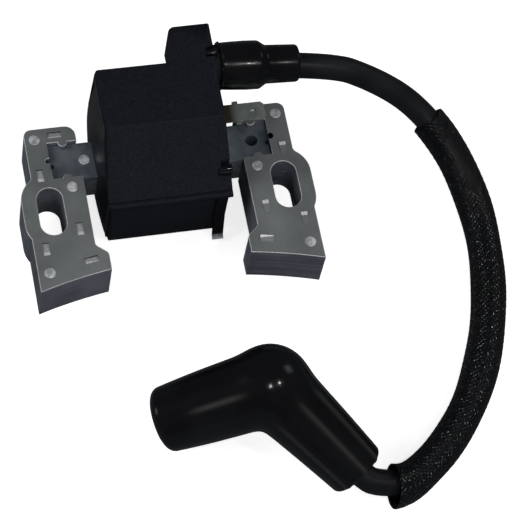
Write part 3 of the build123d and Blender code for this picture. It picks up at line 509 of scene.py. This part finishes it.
# The boot's colour is lightened to grey by a painted highlight along the ribs and the barrel's crest.
sheen_paint = add(tree, "Attribute", {"attribute_name": "sheen_paint"})
base = shader.inputs["Base Color"].links[0].from_socket
sheen_mix = add(tree, "Mix", {"data_type": "RGBA"}, {0: sheen_paint.outputs["Fac"], 6: base, 7: paint("#3c3c3a")})
tree.links.new(sheen_mix.outputs[2], shader.inputs["Base Color"])
vertex_places = np.empty(len(boot.data.vertices) * 3)
boot.data.vertices.foreach_get("co", vertex_places)
# Painted sheen share at each vertex, read by the material above.
sheen_marks = boot.data.attributes.new("sheen_paint", "FLOAT", "POINT")
sheen_marks.data.foreach_set("value", painted_sheen_share(vertex_places.reshape(-1, 3) / MM))
boot.data.materials.append(boot_rubber)
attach(boot, BOOT)
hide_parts("plug_boot")

# ---------------------------------------------------------------- floor and lights
# Plain white sweep under the module, three soft boxes well to the sides, two faint panels, and two small
# lamps high in front. The sweep and the sky are white when seen directly and grey to light and gloss.
floor_size = 6.0
floor = grid_mesh("floor", np.array([
    [(-floor_size, -floor_size, 0.0), (floor_size, -floor_size, 0.0)],
    [(-floor_size, floor_size, 0.0), (floor_size, floor_size, 0.0)],
]), close_across=False)
floor_paper, tree, shader = finish_named("paper_backdrop_white")
shader.inputs["Roughness"].default_value = 0.9
shader.inputs["Specular IOR Level"].default_value = 0.0
seen = add(tree, "LightPath")
sheet = add(tree, "Mix", {"data_type": "RGBA"}, {
    0: seen.outputs["Is Camera Ray"], 6: paint("#63666a"), 7: paint("#f4f4f4")})
tree.links.new(sheet.outputs[2], shader.inputs["Base Color"])
glow = add(tree, "MapRange", inputs={"Value": seen.outputs["Is Camera Ray"], "To Min": 0.0, "To Max": 0.72})
shader.inputs["Emission Color"].default_value = paint("#ffffff")
tree.links.new(glow.outputs[0], shader.inputs["Emission Strength"])
floor.data.materials.append(floor_paper)


def soft_box(name, place, size, power, mirrored):
    """Square area lamp that faces the module from a place, with its side and its power in watts. One that
    isn't mirrored is flagged off from glossy faces, as a grid on the box does."""
    lamp = bpy.data.lights.new(name, "AREA")
    lamp.shape = "SQUARE"
    lamp.size = size
    lamp.energy = power
    lamp_object = bpy.data.objects.new(name, lamp)
    bpy.context.collection.objects.link(lamp_object)
    toward = np.array((0.02, -0.03, 0.0)) - place
    lamp_object.location = place
    lamp_object.visible_glossy = mirrored
    lamp_object.rotation_euler = Vector(toward).to_track_quat("-Z", "Y").to_euler()


soft_box("left_box", (-1.3, 0.1, 1.0), 0.9, 12.0, False)
soft_box("right_box", (1.3, -0.4, 1.0), 0.9, 6.0, False)
soft_box("front_box", (0.0, -1.5, 0.7), 0.9, 6.5, False)
soft_box("right_panel", (1.2, 0.5, 1.1), 0.5, 0.8, True)
soft_box("left_panel", (-1.2, 0.25, 0.5), 0.35, 0.7, True)
soft_box("lens_lamp", (-0.14, -0.45, 0.88), 0.03, 0.8, True)
soft_box("right_lamp", (0.26, -0.36, 0.90), 0.03, 0.7, True)
world = bpy.data.worlds.new("studio")
bpy.context.scene.world = world
world.use_nodes = True
tree = world.node_tree
sky = tree.nodes["Background"]
ray = add(tree, "LightPath")
shade = add(tree, "Mix", {"data_type": "RGBA"}, {
    0: ray.outputs["Is Camera Ray"], 6: paint("#3c3e42"), 7: paint("#f0f0f0")})
tree.links.new(shade.outputs[2], sky.inputs["Color"])
sky.inputs["Strength"].default_value = 1.0

# ---------------------------------------------------------------- case cover
# Moulded from glass-filled nylon, textured and matte: short glass fibres show as fine pale specks, in
# patches. Its edges are barely broken except at the left.
def softened(node, body, width, least_edge, sharp=30.0, steps=3, left_of=None):
    """Copy of a CAD node's surface: its loose triangles are merged, flat areas made whole, and the sharp
    edges longer than least_edge get a rounded bevel of that width; a third of it right of left_of."""
    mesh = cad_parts[node].data.copy()
    mesh.materials.clear()
    piece = bpy.data.objects.new(node + "_piece", mesh)
    bpy.context.collection.objects.link(piece)
    shell = bmesh.new()
    shell.from_mesh(mesh)
    bmesh.ops.remove_doubles(shell, verts=shell.verts, dist=2e-6)
    bmesh.ops.dissolve_limit(shell, angle_limit=radians(0.6), verts=shell.verts, edges=shell.edges)
    weights = shell.edges.layers.float.new("bevel_weight_edge")
    for edge in shell.edges:
        if len(edge.link_faces) == 2 and edge.calc_face_angle(0.0) > radians(sharp):
            if edge.calc_length() > least_edge:
                middle = (edge.verts[0].co.x + edge.verts[1].co.x) / 2
                edge[weights] = 1.0 if left_of is None or middle < left_of else 0.35
            else:
                edge.smooth = False
    for face in shell.faces:
        face.smooth = True
    shell.to_mesh(mesh)
    shell.free()
    bevel = piece.modifiers.new("broken_edges", "BEVEL")
    bevel.limit_method = "WEIGHT"
    bevel.width = width
    bevel.segments = steps
    bevel.use_clamp_overlap = False
    flatten = piece.modifiers.new("flat_faces_stay_flat", "WEIGHTED_NORMAL")
    flatten.weight = 100
    flatten.keep_sharp = True
    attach(piece, body)
    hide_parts(node)
    return piece


cover = softened("case_cover", MODULE, 0.001, 0.003, left_of=-0.0185)
cover_nylon, tree, shader = finish_named("nylon_glass_filled_textured")
place = add(tree, "TexCoord")
texture = add(tree, "TexNoise", inputs={"Vector": place.outputs["Object"], "Scale": 1400.0, "Detail": 4.0})
fibres = add(tree, "TexVoronoi", inputs={"Vector": place.outputs["Object"], "Scale": 1300.0})
dust = add(tree, "TexNoise", inputs={"Vector": place.outputs["Object"], "Scale": 110.0, "Detail": 3.0})
speck = add(tree, "MapRange", inputs={
    "Value": fibres.outputs["Distance"], "From Min": 0.22, "From Max": 0.06})
dusty = add(tree, "MapRange", inputs={"Value": dust.outputs["Fac"], "From Min": 0.45, "From Max": 0.7})
speckle = add(tree, "Math", {"operation": "MULTIPLY"}, {0: speck.outputs[0], 1: dusty.outputs[0]})
tone = add(tree, "ValToRGB", inputs={"Fac": texture.outputs["Fac"]},
           stops=[(0.35, "#14151a"), (0.7, "#1f2128")])
pale = add(tree, "Mix", {"data_type": "RGBA"}, {
    0: speckle.outputs[0], 6: tone.outputs["Color"], 7: paint("#3c3c3e")})
relief = add(tree, "Bump", inputs={"Height": texture.outputs["Fac"], "Strength": 0.35, "Distance": 0.00006})
tree.links.new(pale.outputs[2], shader.inputs["Base Color"])
tree.links.new(relief.outputs["Normal"], shader.inputs["Normal"])
shader.inputs["Roughness"].default_value = 0.6
shader.inputs["Specular IOR Level"].default_value = 0.2
cover.data.materials.append(cover_nylon)

# ---------------------------------------------------------------- lower housing
# Open box of the same nylon, from a smoother mould: satin, with the latch noses moulded on its wall.
housing = softened("coil_housing", MODULE, 0.0004, 0.003)
housing_nylon = cover_nylon.copy()
housing_nylon.name = "nylon_glass_filled_smooth"
housing_shader = housing_nylon.node_tree.nodes["Principled BSDF"]
housing_shader.inputs["Specular IOR Level"].default_value = 0.3
housing_shader.inputs["Roughness"].default_value = 0.5
housing.data.materials.append(housing_nylon)

# Glossy rounded noses of the two latches, where they show in the cover's windows.
for latch, place, reach, radius in (("front_latch_nose", (16.2, -7.3, 31.5), 4.2, 1.5),
                                    ("rear_latch_nose", (16.6, 28.9, 43.2), 4.4, 1.3)):
    nose_profile = eased(np.array([(0.0, 0.1), (0.0, radius), (reach, radius), (reach, 0.1)]) * MM, 0.0005)
    nose = turned(latch, nose_profile, np.array(place) * MM, np.array([1.0, 0.0, 0.0]), columns=32)
    nose.data.materials.append(gloss_rubber)
    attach(nose, MODULE)

# ---------------------------------------------------------------- legs
# Each leg is 33 stamped sheets of silicon steel, 0.5 mm thick, riveted and interlocked. The stack's faces
# are dull grey; its sides show every sheet, because no two lie exactly on each other.
LEG_BOTTOM = 0.0086
LEG_TOP = 0.0250
SHEETS = 33
SHEET = (LEG_TOP - LEG_BOTTOM) / SHEETS


def rim_loops(shell, level):
    """Rows of vertices round the flat faces at a level, in the order that keeps the steel on the left."""
    following = {}
    for face in shell.faces:
        if face.normal.z > 0.99 and abs(face.verts[0].co.z - level) < 1e-5:
            for corner in face.loops:
                other = [f for f in corner.edge.link_faces if f is not face]
                if not other or other[0].normal.z < 0.5:
                    following[corner.vert] = corner.link_loop_next.vert
    loops = []
    while following:
        start, row = next(iter(following)), []
        while start in following:
            row.append(start)
            start = following.pop(start)
        loops.append(row)
    return loops


def outward_of(points):
    """Mitred unit normals of a closed row of points, on the right of its way round."""
    along_edge = np.roll(points, -1, axis=0) - points
    along_edge /= np.linalg.norm(along_edge, axis=1)[:, None]
    edge_normals = np.column_stack([along_edge[:, 1], -along_edge[:, 0]])
    both = edge_normals + np.roll(edge_normals, 1, axis=0)
    return 2 * both / np.maximum((both**2).sum(axis=1), 1.2)[:, None]


def stacked_leg(node, side, seed):
    """Copy of a leg with its outer and slot walls remade as sheets: each wall is its rim's row of points,
    moved out by every sheet's own small offset, with a fine groove between sheets and rounded rims."""
    chance = np.random.default_rng(seed)
    shell = bmesh.new()
    shell.from_mesh(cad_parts[node].data)
    bmesh.ops.remove_doubles(shell, verts=shell.verts, dist=2e-6)
    bmesh.ops.dissolve_limit(shell, angle_limit=radians(0.6), verts=shell.verts, edges=shell.edges)
    shell.normal_update()
    places = np.array([(33.0, 15.5), (39.6, 1.4), (30.1, -18.85), (41.7, -24.6), (28.2, -30.1)])
    places = places * (side * MM, MM)
    half_lengths = np.array([0.00105, 0.0022, 0.0022, 0.0022, 0.00105])
    tab_level = LEG_TOP + (0.00025 if side > 0 else -0.00045)
    for place, half in zip(places, half_lengths):
        tab = min((f for f in shell.faces if abs(f.calc_center_median().z - tab_level) < 1e-5),
                  key=lambda f: np.linalg.norm(np.array(f.calc_center_median()[:2]) - place))
        bmesh.ops.bisect_plane(shell, geom=[tab, *tab.edges, *tab.verts], dist=1e-6,
                               plane_co=(*place + np.array([0.0, side * 0.45 * half]), tab_level),
                               plane_no=(0, 1, 0))
    tall = [f for f in shell.faces if abs(f.normal.z) < 0.01 and
            max(v.co.z for v in f.verts) - min(v.co.z for v in f.verts) > 0.9 * (LEG_TOP - LEG_BOTTOM)]
    loops = rim_loops(shell, LEG_TOP)
    walls = [row for row in loops if max(abs(v.co.y - row[0].co.y) for v in row) > 0.008]
    rims = {v for row in walls for v in row}
    wall_faces = [f for f in tall if any(v in rims for v in f.verts)]
    bmesh.ops.delete(shell, geom=wall_faces, context="FACES_ONLY")
    shell.verts.index_update()
    points = np.array([v.co[:] for v in shell.verts])
    faces = [[v.index for v in f.verts] for f in shell.faces]
    foot_lookup = {(round(v.co.x, 6), round(v.co.y, 6)): v.index for v in shell.verts
                   if abs(v.co.z - LEG_BOTTOM) < 1e-5}
    tilted = np.abs(points[:, 2] - tab_level) < 1e-5
    nearest = np.linalg.norm(points[:, None, :2] - places, axis=2).argmin(axis=1)
    fall = (points[:, 1] - places[nearest, 1]) / half_lengths[nearest]
    if side > 0:
        points[tilted, 2] = LEG_TOP + 0.00010 + 0.00034 * fall[tilted]
    else:
        points[tilted, 2] = LEG_TOP - 0.00034 - 0.00026 * fall[tilted]
    # Material slots: 0 plain steel, 1 a painted highlight on the tabs' raised ends, 2 lighter grey pressed
    # tabs, 3 painted shade on the tabs' walls.
    finish = []
    for row in faces:
        on_tab = tilted[row]
        at_painted_highlight_end = (side * fall[row]).mean() > 0.5
        finish.append(3 if on_tab.any() and not on_tab.all() else 0 if not on_tab.any() else
                      1 if at_painted_highlight_end else 2 if side < 0 else 0)
    levels, offsets = [LEG_TOP - 0.00016], [0.0]
    for sheet in range(SHEETS):
        top = LEG_TOP - sheet * SHEET
        out = chance.uniform(-0.00003, 0.00003)
        if sheet:
            levels += [top, top - 0.00006]
            offsets += [-0.00009, out]
        levels.append(top - SHEET + 0.00006)
        offsets.append(out)
    for row in walls:
        rim = np.array([v.index for v in row])
        foot = np.array([foot_lookup[(round(points[k, 0], 6), round(points[k, 1], 6))] for k in rim])
        outline = points[rim, :2].copy()
        normals = outward_of(outline)
        points[rim, :2] -= 0.00016 * normals
        first = len(points)
        rings = [np.column_stack([outline + out * normals, np.full(len(rim), level)])
                 for level, out in zip(levels, offsets)]
        points = np.vstack([points, *rings])
        index = np.vstack([rim, first + np.arange(len(rings) * len(rim)).reshape(len(rings), -1), foot])
        after = np.roll(index, -1, axis=1)
        faces += np.stack([index[:-1], index[1:], after[1:], after[:-1]], axis=-1).reshape(-1, 4).tolist()
        # Slot 1 on the first band below each rim: a painted highlight where the rounded rim would catch
        # light.
        finish += [1] * len(rim) + [0] * (len(rim) * (len(index) - 2))
    shell.free()
    mesh = bpy.data.meshes.new(node + "_sheets")
    mesh.from_pydata(points.tolist(), [], faces)
    mesh.polygons.foreach_set("material_index", finish)
    piece = bpy.data.objects.new(node + "_sheets", mesh)
    bpy.context.collection.objects.link(piece)
    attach(piece, MODULE)
    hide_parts(node)
    return piece


# Silicon steel with an oxide skin: dull, finely rolled along Y, browner on its faces, blue-grey at its cut
# sides.
# Its rim bands and tabs take the painted highlight and painted shade materials below.
steel, tree, shader = finish_named("silicon_steel_rolled_dull")
place = add(tree, "TexCoord")
geometry = add(tree, "NewGeometry")
face = add(tree, "SeparateXYZ", inputs={"Vector": geometry.outputs["True Normal"]})
where = add(tree, "SeparateXYZ", inputs={"Vector": place.outputs["Object"]})
rolled = add(tree, "Mapping", inputs={"Vector": place.outputs["Object"], "Scale": (1.0, 0.06, 1.0)})
streaks = add(tree, "TexNoise", inputs={"Vector": rolled.outputs["Vector"], "Scale": 2200.0, "Detail": 3.0})
patches = add(tree, "TexNoise", inputs={"Vector": place.outputs["Object"], "Scale": 55.0, "Detail": 4.0})
mixed = add(tree, "Math", {"operation": "MULTIPLY_ADD"}, {
    0: streaks.outputs["Fac"], 1: 0.18, 2: patches.outputs["Fac"]})
face_tone = add(tree, "ValToRGB", inputs={"Fac": mixed.outputs[0]},
                stops=[(0.35, "#727676"), (0.8, "#949897")])
side_tone = add(tree, "ValToRGB", inputs={"Fac": mixed.outputs[0]},
                stops=[(0.35, "#474956"), (0.8, "#777a87")])
level = add(tree, "Math", {"operation": "ABSOLUTE"}, {0: face.outputs["Z"]})
on_face = add(tree, "MapRange", inputs={"Value": level.outputs[0], "From Min": 0.75, "From Max": 0.95})
tone = add(tree, "Mix", {"data_type": "RGBA"}, {
    0: on_face.outputs[0], 6: side_tone.outputs["Color"], 7: face_tone.outputs["Color"]})
dull = add(tree, "MapRange", inputs={"Value": streaks.outputs["Fac"], "To Min": 0.42, "To Max": 0.6})
relief = add(tree, "Bump", inputs={"Height": streaks.outputs["Fac"], "Strength": 0.25, "Distance": 0.00003})
tree.links.new(tone.outputs[2], shader.inputs["Base Color"])
tree.links.new(dull.outputs[0], shader.inputs["Roughness"])
tree.links.new(relief.outputs["Normal"], shader.inputs["Normal"])
shader.inputs["Metallic"].default_value = 0.45
left_leg = stacked_leg("left_leg", -1, 3)
right_leg = stacked_leg("right_leg", 1, 8)

# The same steel with painted light: near white on the rim bands, partly the brightness of freshly sheared
# steel and partly a painted highlight, and on the tabs' raised ends as a painted highlight; lighter grey on
# the pressed tabs; near black on the tabs' walls as painted shade in their gaps.
for metal_name, dark, light, metal_rough in (
        ("silicon_steel_sheared_painted_highlight", "#c4c7ca", "#ffffff", 0.35),
        ("silicon_steel_pressed_tab", "#a3a9a7", "#c9cfcd", 0.42),
        ("silicon_steel_painted_gap_shade", "#141516", "#2a2c2e", 0.6)):
    cut, tree, shader = finish_named(metal_name)
    place = add(tree, "TexCoord")
    nicks = add(tree, "TexNoise", inputs={"Vector": place.outputs["Object"], "Scale": 3000.0, "Detail": 3.0})
    tone = add(tree, "ValToRGB", inputs={"Fac": nicks.outputs["Fac"]}, stops=[(0.35, dark), (0.65, light)])
    tree.links.new(tone.outputs["Color"], shader.inputs["Base Color"])
    shader.inputs["Metallic"].default_value = 0.3
    shader.inputs["Roughness"].default_value = metal_rough
    for leg in (left_leg, right_leg):
        if not leg.data.materials:
            leg.data.materials.append(steel)
        leg.data.materials.append(cut)

# ---------------------------------------------------------------- core bar
# The same steel sheets in a bar through the coil, oiled and blued by heat, so it is much darker.
core = softened("core_bar", MODULE, 0.00012, 0.001)
blued, tree, shader = finish_named("silicon_steel_blued")
place = add(tree, "TexCoord")
where = add(tree, "SeparateXYZ", inputs={"Vector": place.outputs["Object"]})
stain = add(tree, "TexNoise", inputs={"Vector": place.outputs["Object"], "Scale": 160.0, "Detail": 4.0})
phase = add(tree, "Math", {"operation": "MULTIPLY"}, {0: where.outputs["Z"], 1: tau / SHEET})
sheet_line = add(tree, "Math", {"operation": "SINE"}, {0: phase.outputs[0]})
groove = add(tree, "MapRange", inputs={"Value": sheet_line.outputs[0], "From Min": -1.0, "From Max": -0.6})
tone = add(tree, "ValToRGB", inputs={"Fac": stain.outputs["Fac"]},
           stops=[(0.35, "#6d7780"), (0.7, "#9aa4aa")])
relief = add(tree, "Bump", inputs={"Height": groove.outputs[0], "Strength": 0.8, "Distance": 0.00008})
tree.links.new(tone.outputs["Color"], shader.inputs["Base Color"])
tree.links.new(relief.outputs["Normal"], shader.inputs["Normal"])
shader.inputs["Metallic"].default_value = 0.65
shader.inputs["Roughness"].default_value = 0.38
core.data.materials.append(blued)

# ---------------------------------------------------------------- rivets
# Plain steel rivets, their ends spun over in a press: bright, with a dimple and fine pits.
bright, tree, shader = finish_named("steel_rivet_spun")
place = add(tree, "TexCoord")
pits = add(tree, "TexNoise", inputs={"Vector": place.outputs["Object"], "Scale": 1500.0, "Detail": 3.0})
blotch = add(tree, "TexNoise", inputs={"Vector": place.outputs["Object"], "Scale": 500.0, "Detail": 2.0})
tone = add(tree, "ValToRGB", inputs={"Fac": blotch.outputs["Fac"]},
           stops=[(0.35, "#a9adb2"), (0.62, "#eef0f3")])
relief = add(tree, "Bump", inputs={"Height": pits.outputs["Fac"], "Strength": 0.5, "Distance": 0.00008})
tree.links.new(tone.outputs["Color"], shader.inputs["Base Color"])
tree.links.new(relief.outputs["Normal"], shader.inputs["Normal"])
shader.inputs["Metallic"].default_value = 0.35
shader.inputs["Roughness"].default_value = 0.45


def rivet_set(name, node, centres, top, shank, head, foot):
    """Rivets as turned profiles: a shank, and a low head that rises by a parabola and dips at its middle."""
    reach = np.linspace(0, 1, 7)[1:]
    dimple = 0.00006 * np.exp(-(reach / 0.3)**2)
    dome = np.column_stack([top + 0.00016 * (1 - reach**2) + 0.00010 * reach - dimple,
                            head * reach])
    stem = [(foot, 0.3 * shank), (foot, shank), (top - 0.0003, shank), (top, head)]
    profile = np.concatenate([stem, dome[::-1]])
    upright = np.array([0.0, 0.0, 1.0])
    pieces = [turned(name, profile, np.array([x, y, 0.0]), upright, columns=28) for x, y in centres]
    shell = bmesh.new()
    for piece in pieces:
        shell.from_mesh(piece.data)
        bpy.data.objects.remove(piece)
    bmesh.ops.holes_fill(shell, edges=[e for e in shell.edges if e.is_boundary])
    bmesh.ops.recalc_face_normals(shell, faces=shell.faces)
    mesh = bpy.data.meshes.new(name)
    shell.to_mesh(mesh)
    shell.free()
    mesh.materials.append(bright)
    piece = bpy.data.objects.new(name, mesh)
    bpy.context.collection.objects.link(piece)
    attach(piece, MODULE)
    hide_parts(node)
    return piece


rivet_places = np.array([(39.5, 14.4), (30.0, -3.8), (41.8, -33.0)]) * MM
rivet_set("right_rivets", "right_leg_rivets", rivet_places, LEG_TOP, 0.0014, 0.0018, LEG_BOTTOM)
rivet_set("left_rivets", "left_leg_rivets", rivet_places * (-1, 1), LEG_TOP, 0.0014, 0.0018, LEG_BOTTOM)
rivet_set("bar_rivet", "core_rivet", [(-0.0245, 0.0065)], 0.0229, 0.0014, 0.0018, 0.0107)

# ---------------------------------------------------------------- blade terminal
# Blanked from tinned brass: grey with a warm cast and bright sheared edges; its colour turns darker
# brown-grey towards its root.
blade = softened("blade_terminal", MODULE, 0.00008, 0.0005)
tinned, tree, shader = finish_named("brass_tinned")
place = add(tree, "TexCoord")
where = add(tree, "SeparateXYZ", inputs={"Vector": place.outputs["Object"]})
cloud = add(tree, "TexNoise", inputs={"Vector": place.outputs["Object"], "Scale": 220.0, "Detail": 4.0})
tone = add(tree, "ValToRGB", inputs={"Fac": cloud.outputs["Fac"]}, stops=[(0.3, "#9fa8a3"), (0.7, "#c9d1cb")])
root = add(tree, "MapRange", inputs={"Value": where.outputs["X"], "From Min": 0.0262, "From Max": 0.0235})
# Darker brown-grey over the last 2.7 mm of X towards the root.
darker_toward_root = add(tree, "Mix", {"data_type": "RGBA"}, {
    0: root.outputs[0], 6: tone.outputs["Color"], 7: paint("#5a5444")})
tree.links.new(darker_toward_root.outputs[2], shader.inputs["Base Color"])
shader.inputs["Metallic"].default_value = 0.8
shader.inputs["Roughness"].default_value = 0.42
blade.data.materials.append(tinned)

# ---------------------------------------------------------------- ground clip
# Spring steel strip down the housing's front corner, black-oiled, its foot sheared and bright.
clip = softened("ground_clip", MODULE, 0.00008, 0.0005)
oiled, tree, shader = finish_named("spring_steel_black_oiled")
place = add(tree, "TexCoord")
where = add(tree, "SeparateXYZ", inputs={"Vector": place.outputs["Object"]})
rub = add(tree, "TexNoise", inputs={"Vector": place.outputs["Object"], "Scale": 500.0, "Detail": 4.0})
lift = add(tree, "Math", {"operation": "MULTIPLY_ADD"}, {
    0: rub.outputs["Fac"], 1: 0.002, 2: where.outputs["Z"]})
bare = add(tree, "MapRange", inputs={"Value": lift.outputs[0], "From Min": 0.0046, "From Max": 0.0034})
tone = add(tree, "Mix", {"data_type": "RGBA"}, {0: bare.outputs[0], 6: paint("#121214"), 7: paint("#aab0b6")})
tree.links.new(tone.outputs[2], shader.inputs["Base Color"])
shader.inputs["Metallic"].default_value = 0.1
shader.inputs["Roughness"].default_value = 0.45
shader.inputs["Specular IOR Level"].default_value = 0.2
clip.data.materials.append(oiled)

# ---------------------------------------------------------------- potting
# Epoxy poured into the case's open left side, black and glossy, crowned where it set.
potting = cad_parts["potting"]
epoxy, tree, shader = finish_named("epoxy_cast_gloss")
place = add(tree, "TexCoord")
swell = add(tree, "TexNoise", inputs={"Vector": place.outputs["Object"], "Scale": 120.0, "Detail": 3.0})
tone = add(tree, "ValToRGB", inputs={"Fac": swell.outputs["Fac"]}, stops=[(0.3, "#08090a"), (0.7, "#101115")])
relief = add(tree, "Bump", inputs={"Height": swell.outputs["Fac"], "Strength": 0.3, "Distance": 0.0005})
tree.links.new(tone.outputs["Color"], shader.inputs["Base Color"])
tree.links.new(relief.outputs["Normal"], shader.inputs["Normal"])
shader.inputs["Roughness"].default_value = 0.3
shader.inputs["Specular IOR Level"].default_value = 0.55
potting.data.materials.clear()
potting.data.materials.append(epoxy)

# ---------------------------------------------------------------- parts inside the case
# Bobbins of natural nylon, enamelled copper, the small circuit board with its parts, and brass contacts.
HIDDEN = {
    "nylon_natural": (("primary_bobbin", "secondary_bobbin"), "#3a3a38", "#4a4946", 0.0, 0.5, 300.0),
    "copper_enamelled": (("primary_winding", "secondary_winding"), "#8a3f1d", "#c0662f", 0.7, 0.3, 2500.0),
    "glass_epoxy_green": (("circuit_board",), "#0f3d20", "#1b5a31", 0.0, 0.4, 800.0),
    "epoxy_moulded_black": (("switching_transistor", "capacitor", "control_chip", "resistors"),
                            "#101010", "#1c1c1c", 0.0, 0.5, 1500.0),
    "brass_plain": (("hv_contact", "boot_terminal"), "#9a7c43", "#c6a565", 0.9, 0.3, 600.0),
}
for name, (nodes, dark, light, metallic, rough, scale) in HIDDEN.items():
    finish, tree, shader = finish_named(name)
    place = add(tree, "TexCoord")
    mottle = add(tree, "TexNoise", inputs={"Vector": place.outputs["Object"], "Scale": scale, "Detail": 3.0})
    tone = add(tree, "ValToRGB", inputs={"Fac": mottle.outputs["Fac"]}, stops=[(0.35, dark), (0.7, light)])
    relief = add(tree, "Bump", inputs={"Height": mottle.outputs["Fac"], "Strength": 0.3, "Distance": 0.0001})
    tree.links.new(tone.outputs["Color"], shader.inputs["Base Color"])
    tree.links.new(relief.outputs["Normal"], shader.inputs["Normal"])
    shader.inputs["Metallic"].default_value = metallic
    shader.inputs["Roughness"].default_value = rough
    for node in nodes:
        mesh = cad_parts[node].data
        mesh.materials.clear()
        mesh.materials.append(finish)
    if name == "brass_plain":
        conductor.data.materials.append(finish)

bpy.context.view_layer.update()
